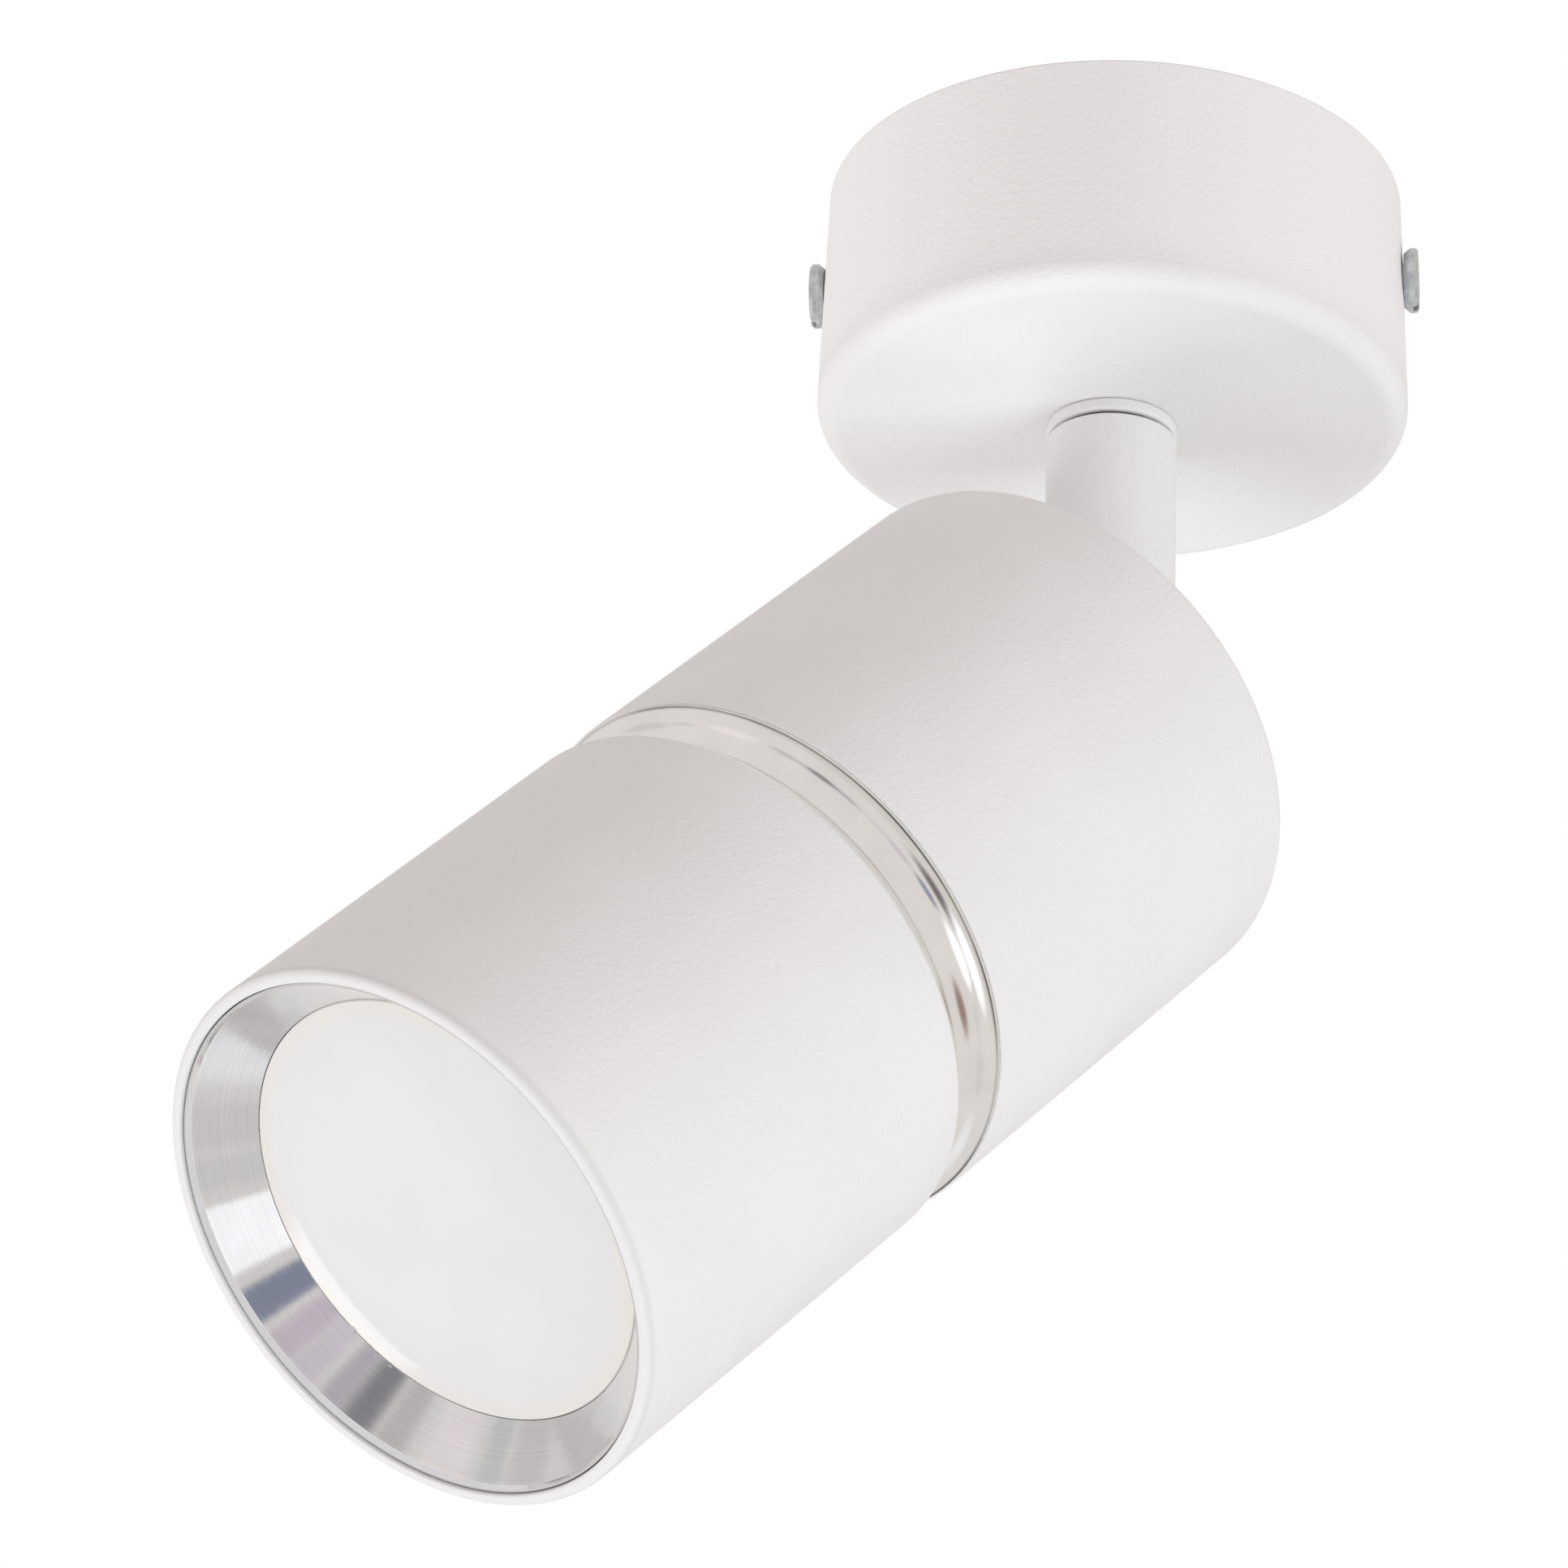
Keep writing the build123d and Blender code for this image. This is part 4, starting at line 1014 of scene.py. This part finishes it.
makeCanopy()
makeStem()
makeHousings()
makeRing()
makeReflector()
makeLamp()
print("turned pieces made")
makeBurrs()
makeThreads()
print("burrs and threads made")


stageLook = {
    "floorDrop": 1.8,                             # metres below the ceiling
    "floorSize": 8.0,
    "floorTone": (0.86, 0.86, 0.86),
    "floorShade": 0.96,                           # its darkest spots
    "floorGrain": 3.0,                            # their size in millimetres
    "floorShare": 0.1,
    "floorFade": (0.3, 0.97),                     # of half the floor's size, where it fades out
    "glow": (0.705, 0.665, 0.645),                # light from all round
    "seen": (0.74, 0.71, 0.685),                  # what polished metal shows, away from the cards
}


def makeFloor():
    mesh = bpy.data.meshes.new("floor")
    half = stageLook["floorSize"] / 2
    drop = -stageLook["floorDrop"]
    corners = [(-half, -half, drop), (half, -half, drop), (half, half, drop), (-half, half, drop)]
    mesh.from_pydata(corners, [], [(0, 1, 2, 3)])
    floor = bpy.data.objects.new("floor", mesh)
    bpy.context.scene.collection.objects.link(floor)
    finish = Finish("paleFloor", Roughness=0.9)
    grain = finish.noise(stageLook["floorGrain"], 3.0)
    tone = stageLook["floorTone"]
    shade = tuple(stageLook["floorShade"] * part for part in tone)
    finish.feed(Base_Color=finish.blend(grain * stageLook["floorShare"], tone, shade))
    # metal sees the studio below through the floor, and the floor fades out before its edge
    clear = finish.add("ShaderNodeBsdfTransparent", {}, {})
    mirrored = finish.add("ShaderNodeLightPath", {}, {}, "Is Glossy Ray")
    x, y = finish.split(finish.place)[:2]
    start, end = stageLook["floorFade"]
    faded = ((x * x + y * y) ** 0.5).ramp(half * start, half * end)
    coated = Value(finish, finish.shader.outputs[0])
    surface = finish.add("ShaderNodeMixShader", {}, {
        0: mirrored.larger(faded), 1: coated, 2: clear})
    leaving = finish.tree.nodes["Material Output"]
    finish.tree.links.new(surface.socket, leaving.inputs["Surface"])
    mesh.materials.append(finish.material)


cardLook = [
    # name, direction, half width and soft edge in degrees, tone
    ("softbox", (0.31, -0.475, -0.82), 11.5, 1.2, (1.12, 1.12, 1.13)),
    ("dimPanel", (0.19, -0.775, -0.60), 6.0, 1.5, (0.25, 0.27, 0.35)),
    ("rosyPanel", (0.05, -0.90, -0.43), 5.0, 2.5, (0.60, 0.53, 0.59)),
    ("palePanel", (-0.07, -0.95, -0.31), 4.0, 3.0, (0.66, 0.60, 0.66)),
    ("greyPanel", (-0.22, -0.96, -0.15), 3.5, 3.0, (0.48, 0.45, 0.49)),
    ("darkDoor", (-0.35, -0.935, -0.03), 5.0, 3.5, (0.26, 0.25, 0.27)),
    ("greyWall", (-0.52, -0.85, 0.10), 4.0, 4.0, (0.55, 0.52, 0.51)),
    ("warmWall", (-0.73, -0.63, 0.27), 8.0, 4.0, (0.84, 0.78, 0.77)),
    ("greyPost", (-0.86, -0.36, 0.37), 4.0, 2.5, (0.61, 0.62, 0.61)),
    ("warmSide", (-0.90, -0.10, 0.42), 7.0, 4.0, (0.64, 0.60, 0.60)),
    ("lowBack", (0.08, 0.64, -0.76), 10.0, 6.0, (0.86, 0.86, 0.87)),
    ("lowGrey", (0.28, 0.20, -0.94), 8.0, 4.0, (0.68, 0.64, 0.64)),
    ("lowMiddle", (0.33, -0.10, -0.94), 6.0, 2.0, (0.68, 0.66, 0.66)),
    ("lensShade", (-0.18, -0.60, -0.78), 8.0, 5.0, (0.15, 0.135, 0.13)),
    ("strip", (-0.12, -0.34, -0.93), 11.0, 4.0, (1.2, 1.2, 1.22)),
    ("brownDoor", (0.84, 0.0, -0.54), 9.0, 6.0, (0.33, 0.235, 0.20)),
    ("keyCard", (-0.73, -0.15, -0.665), 9.0, 2.0, (3.3, 3.3, 3.35)),
]


def makeWorld():
    world = bpy.data.worlds.new("studio")
    world.use_nodes = True
    world.cycles.sampling_method = "NONE"
    studio = Nodes(world.node_tree)
    way = studio.add("ShaderNodeTexCoord", {}, {}, "Generated")
    seen = stageLook["seen"]
    for name, direction, half, soft, tone in cardLook:
        near = studio.add("ShaderNodeVectorMath", {"operation": "DOT_PRODUCT"}, {
            0: way, 1: tuple(Vector(direction).normalized())}, "Value")
        share = near.ramp(cos(radians(half + soft)), cos(radians(max(half - soft, 0))))
        seen = studio.blend(share, seen, tone)
    mirrored = studio.add("ShaderNodeLightPath", {}, {}, "Is Glossy Ray")
    through = studio.add("ShaderNodeLightPath", {}, {}, "Is Transmission Ray")
    camera = studio.add("ShaderNodeLightPath", {}, {}, "Is Camera Ray")
    colour = studio.blend(mirrored, stageLook["glow"], seen)
    colour = studio.blend(camera.larger(through), colour, (1, 1, 1))
    studio.tree.links.new(colour.socket, studio.tree.nodes["Background"].inputs["Color"])
    bpy.context.scene.world = world


cameraLook = {
    "distance": 0.81085,                          # from the centre of the canopy's mouth
    "azimuth": 4.30,                              # degrees from looking along +Y
    "elevation": -30.45,
    "aimRight": 2.6,                              # how far the lens is turned off the canopy
    "aimUp": 4.64,
    "roll": 0.60,
    "lens": 163.69,
    "sensor": 36,
    "near": 0.05,                                 # what it sees, in metres
    "far": 20,
}


def makeCamera():
    look = cameraLook
    around = radians(look["azimuth"])
    height = radians(look["elevation"])
    back = Vector((sin(around) * cos(height), -cos(around) * cos(height), sin(height)))
    forward = -back
    right = Vector((cos(around), sin(around), 0))
    up = right.cross(forward)
    turn = radians(look["aimRight"])
    right, forward = (right * cos(turn) + forward * sin(turn),
                      forward * cos(turn) - right * sin(turn))
    turn = radians(look["aimUp"])
    up, forward = up * cos(turn) + forward * sin(turn), forward * cos(turn) - up * sin(turn)
    turn = radians(look["roll"])
    right, up = right * cos(turn) + up * sin(turn), up * cos(turn) - right * sin(turn)
    data = bpy.data.cameras.new("camera")
    data.sensor_width = look["sensor"]
    data.lens = look["lens"]
    data.clip_start = look["near"]
    data.clip_end = look["far"]
    camera = bpy.data.objects.new("camera", data)
    facing = Matrix((right, up, -forward)).transposed().to_4x4()
    camera.matrix_world = Matrix.Translation(back * look["distance"]) @ facing
    bpy.context.scene.collection.objects.link(camera)
    bpy.context.scene.camera = camera
    return right, up, -forward


lampsLook = [
    # name, direction from the object as (right, up, towards the camera), distance and size in
    # metres, share of the light, tone
    ("sideFill", (0.70, -0.35, 0.60), 1.2, 0.7, 0.37, (0.93, 1.0, 1.08)),
    ("leftKey", (-0.78, -0.55, 0.22), 1.2, 0.4, 0.385, (0.96, 1.0, 1.05)),
    ("lowFill", (-0.35, -0.50, 0.80), 1.2, 0.5, 0.11, (0.96, 1.0, 1.05)),
]


def makeLamps(right, up, back):
    centre = (cadBox[0] + cadBox[1]) / 2
    for name, way, reach, size, share, tone in lampsLook:
        direction = (right * way[0] + up * way[1] + back * way[2]).normalized()
        data = bpy.data.lights.new(name, "AREA")
        data.shape = "SQUARE"
        data.size = size
        data.color = tone
        data.energy = share * pi * pi * reach * reach  # a share of 1 would light a white face to 1
        lamp = bpy.data.objects.new(name, data)
        lamp.location = centre + direction * reach
        lamp.rotation_euler = direction.to_track_quat("Z", "Y").to_euler()
        lamp.visible_glossy = False
        bpy.context.scene.collection.objects.link(lamp)


makeFloor()
makeWorld()
makeLamps(*makeCamera())
bpy.context.scene.view_settings.view_transform = "Standard"
print("stage, light and camera made")
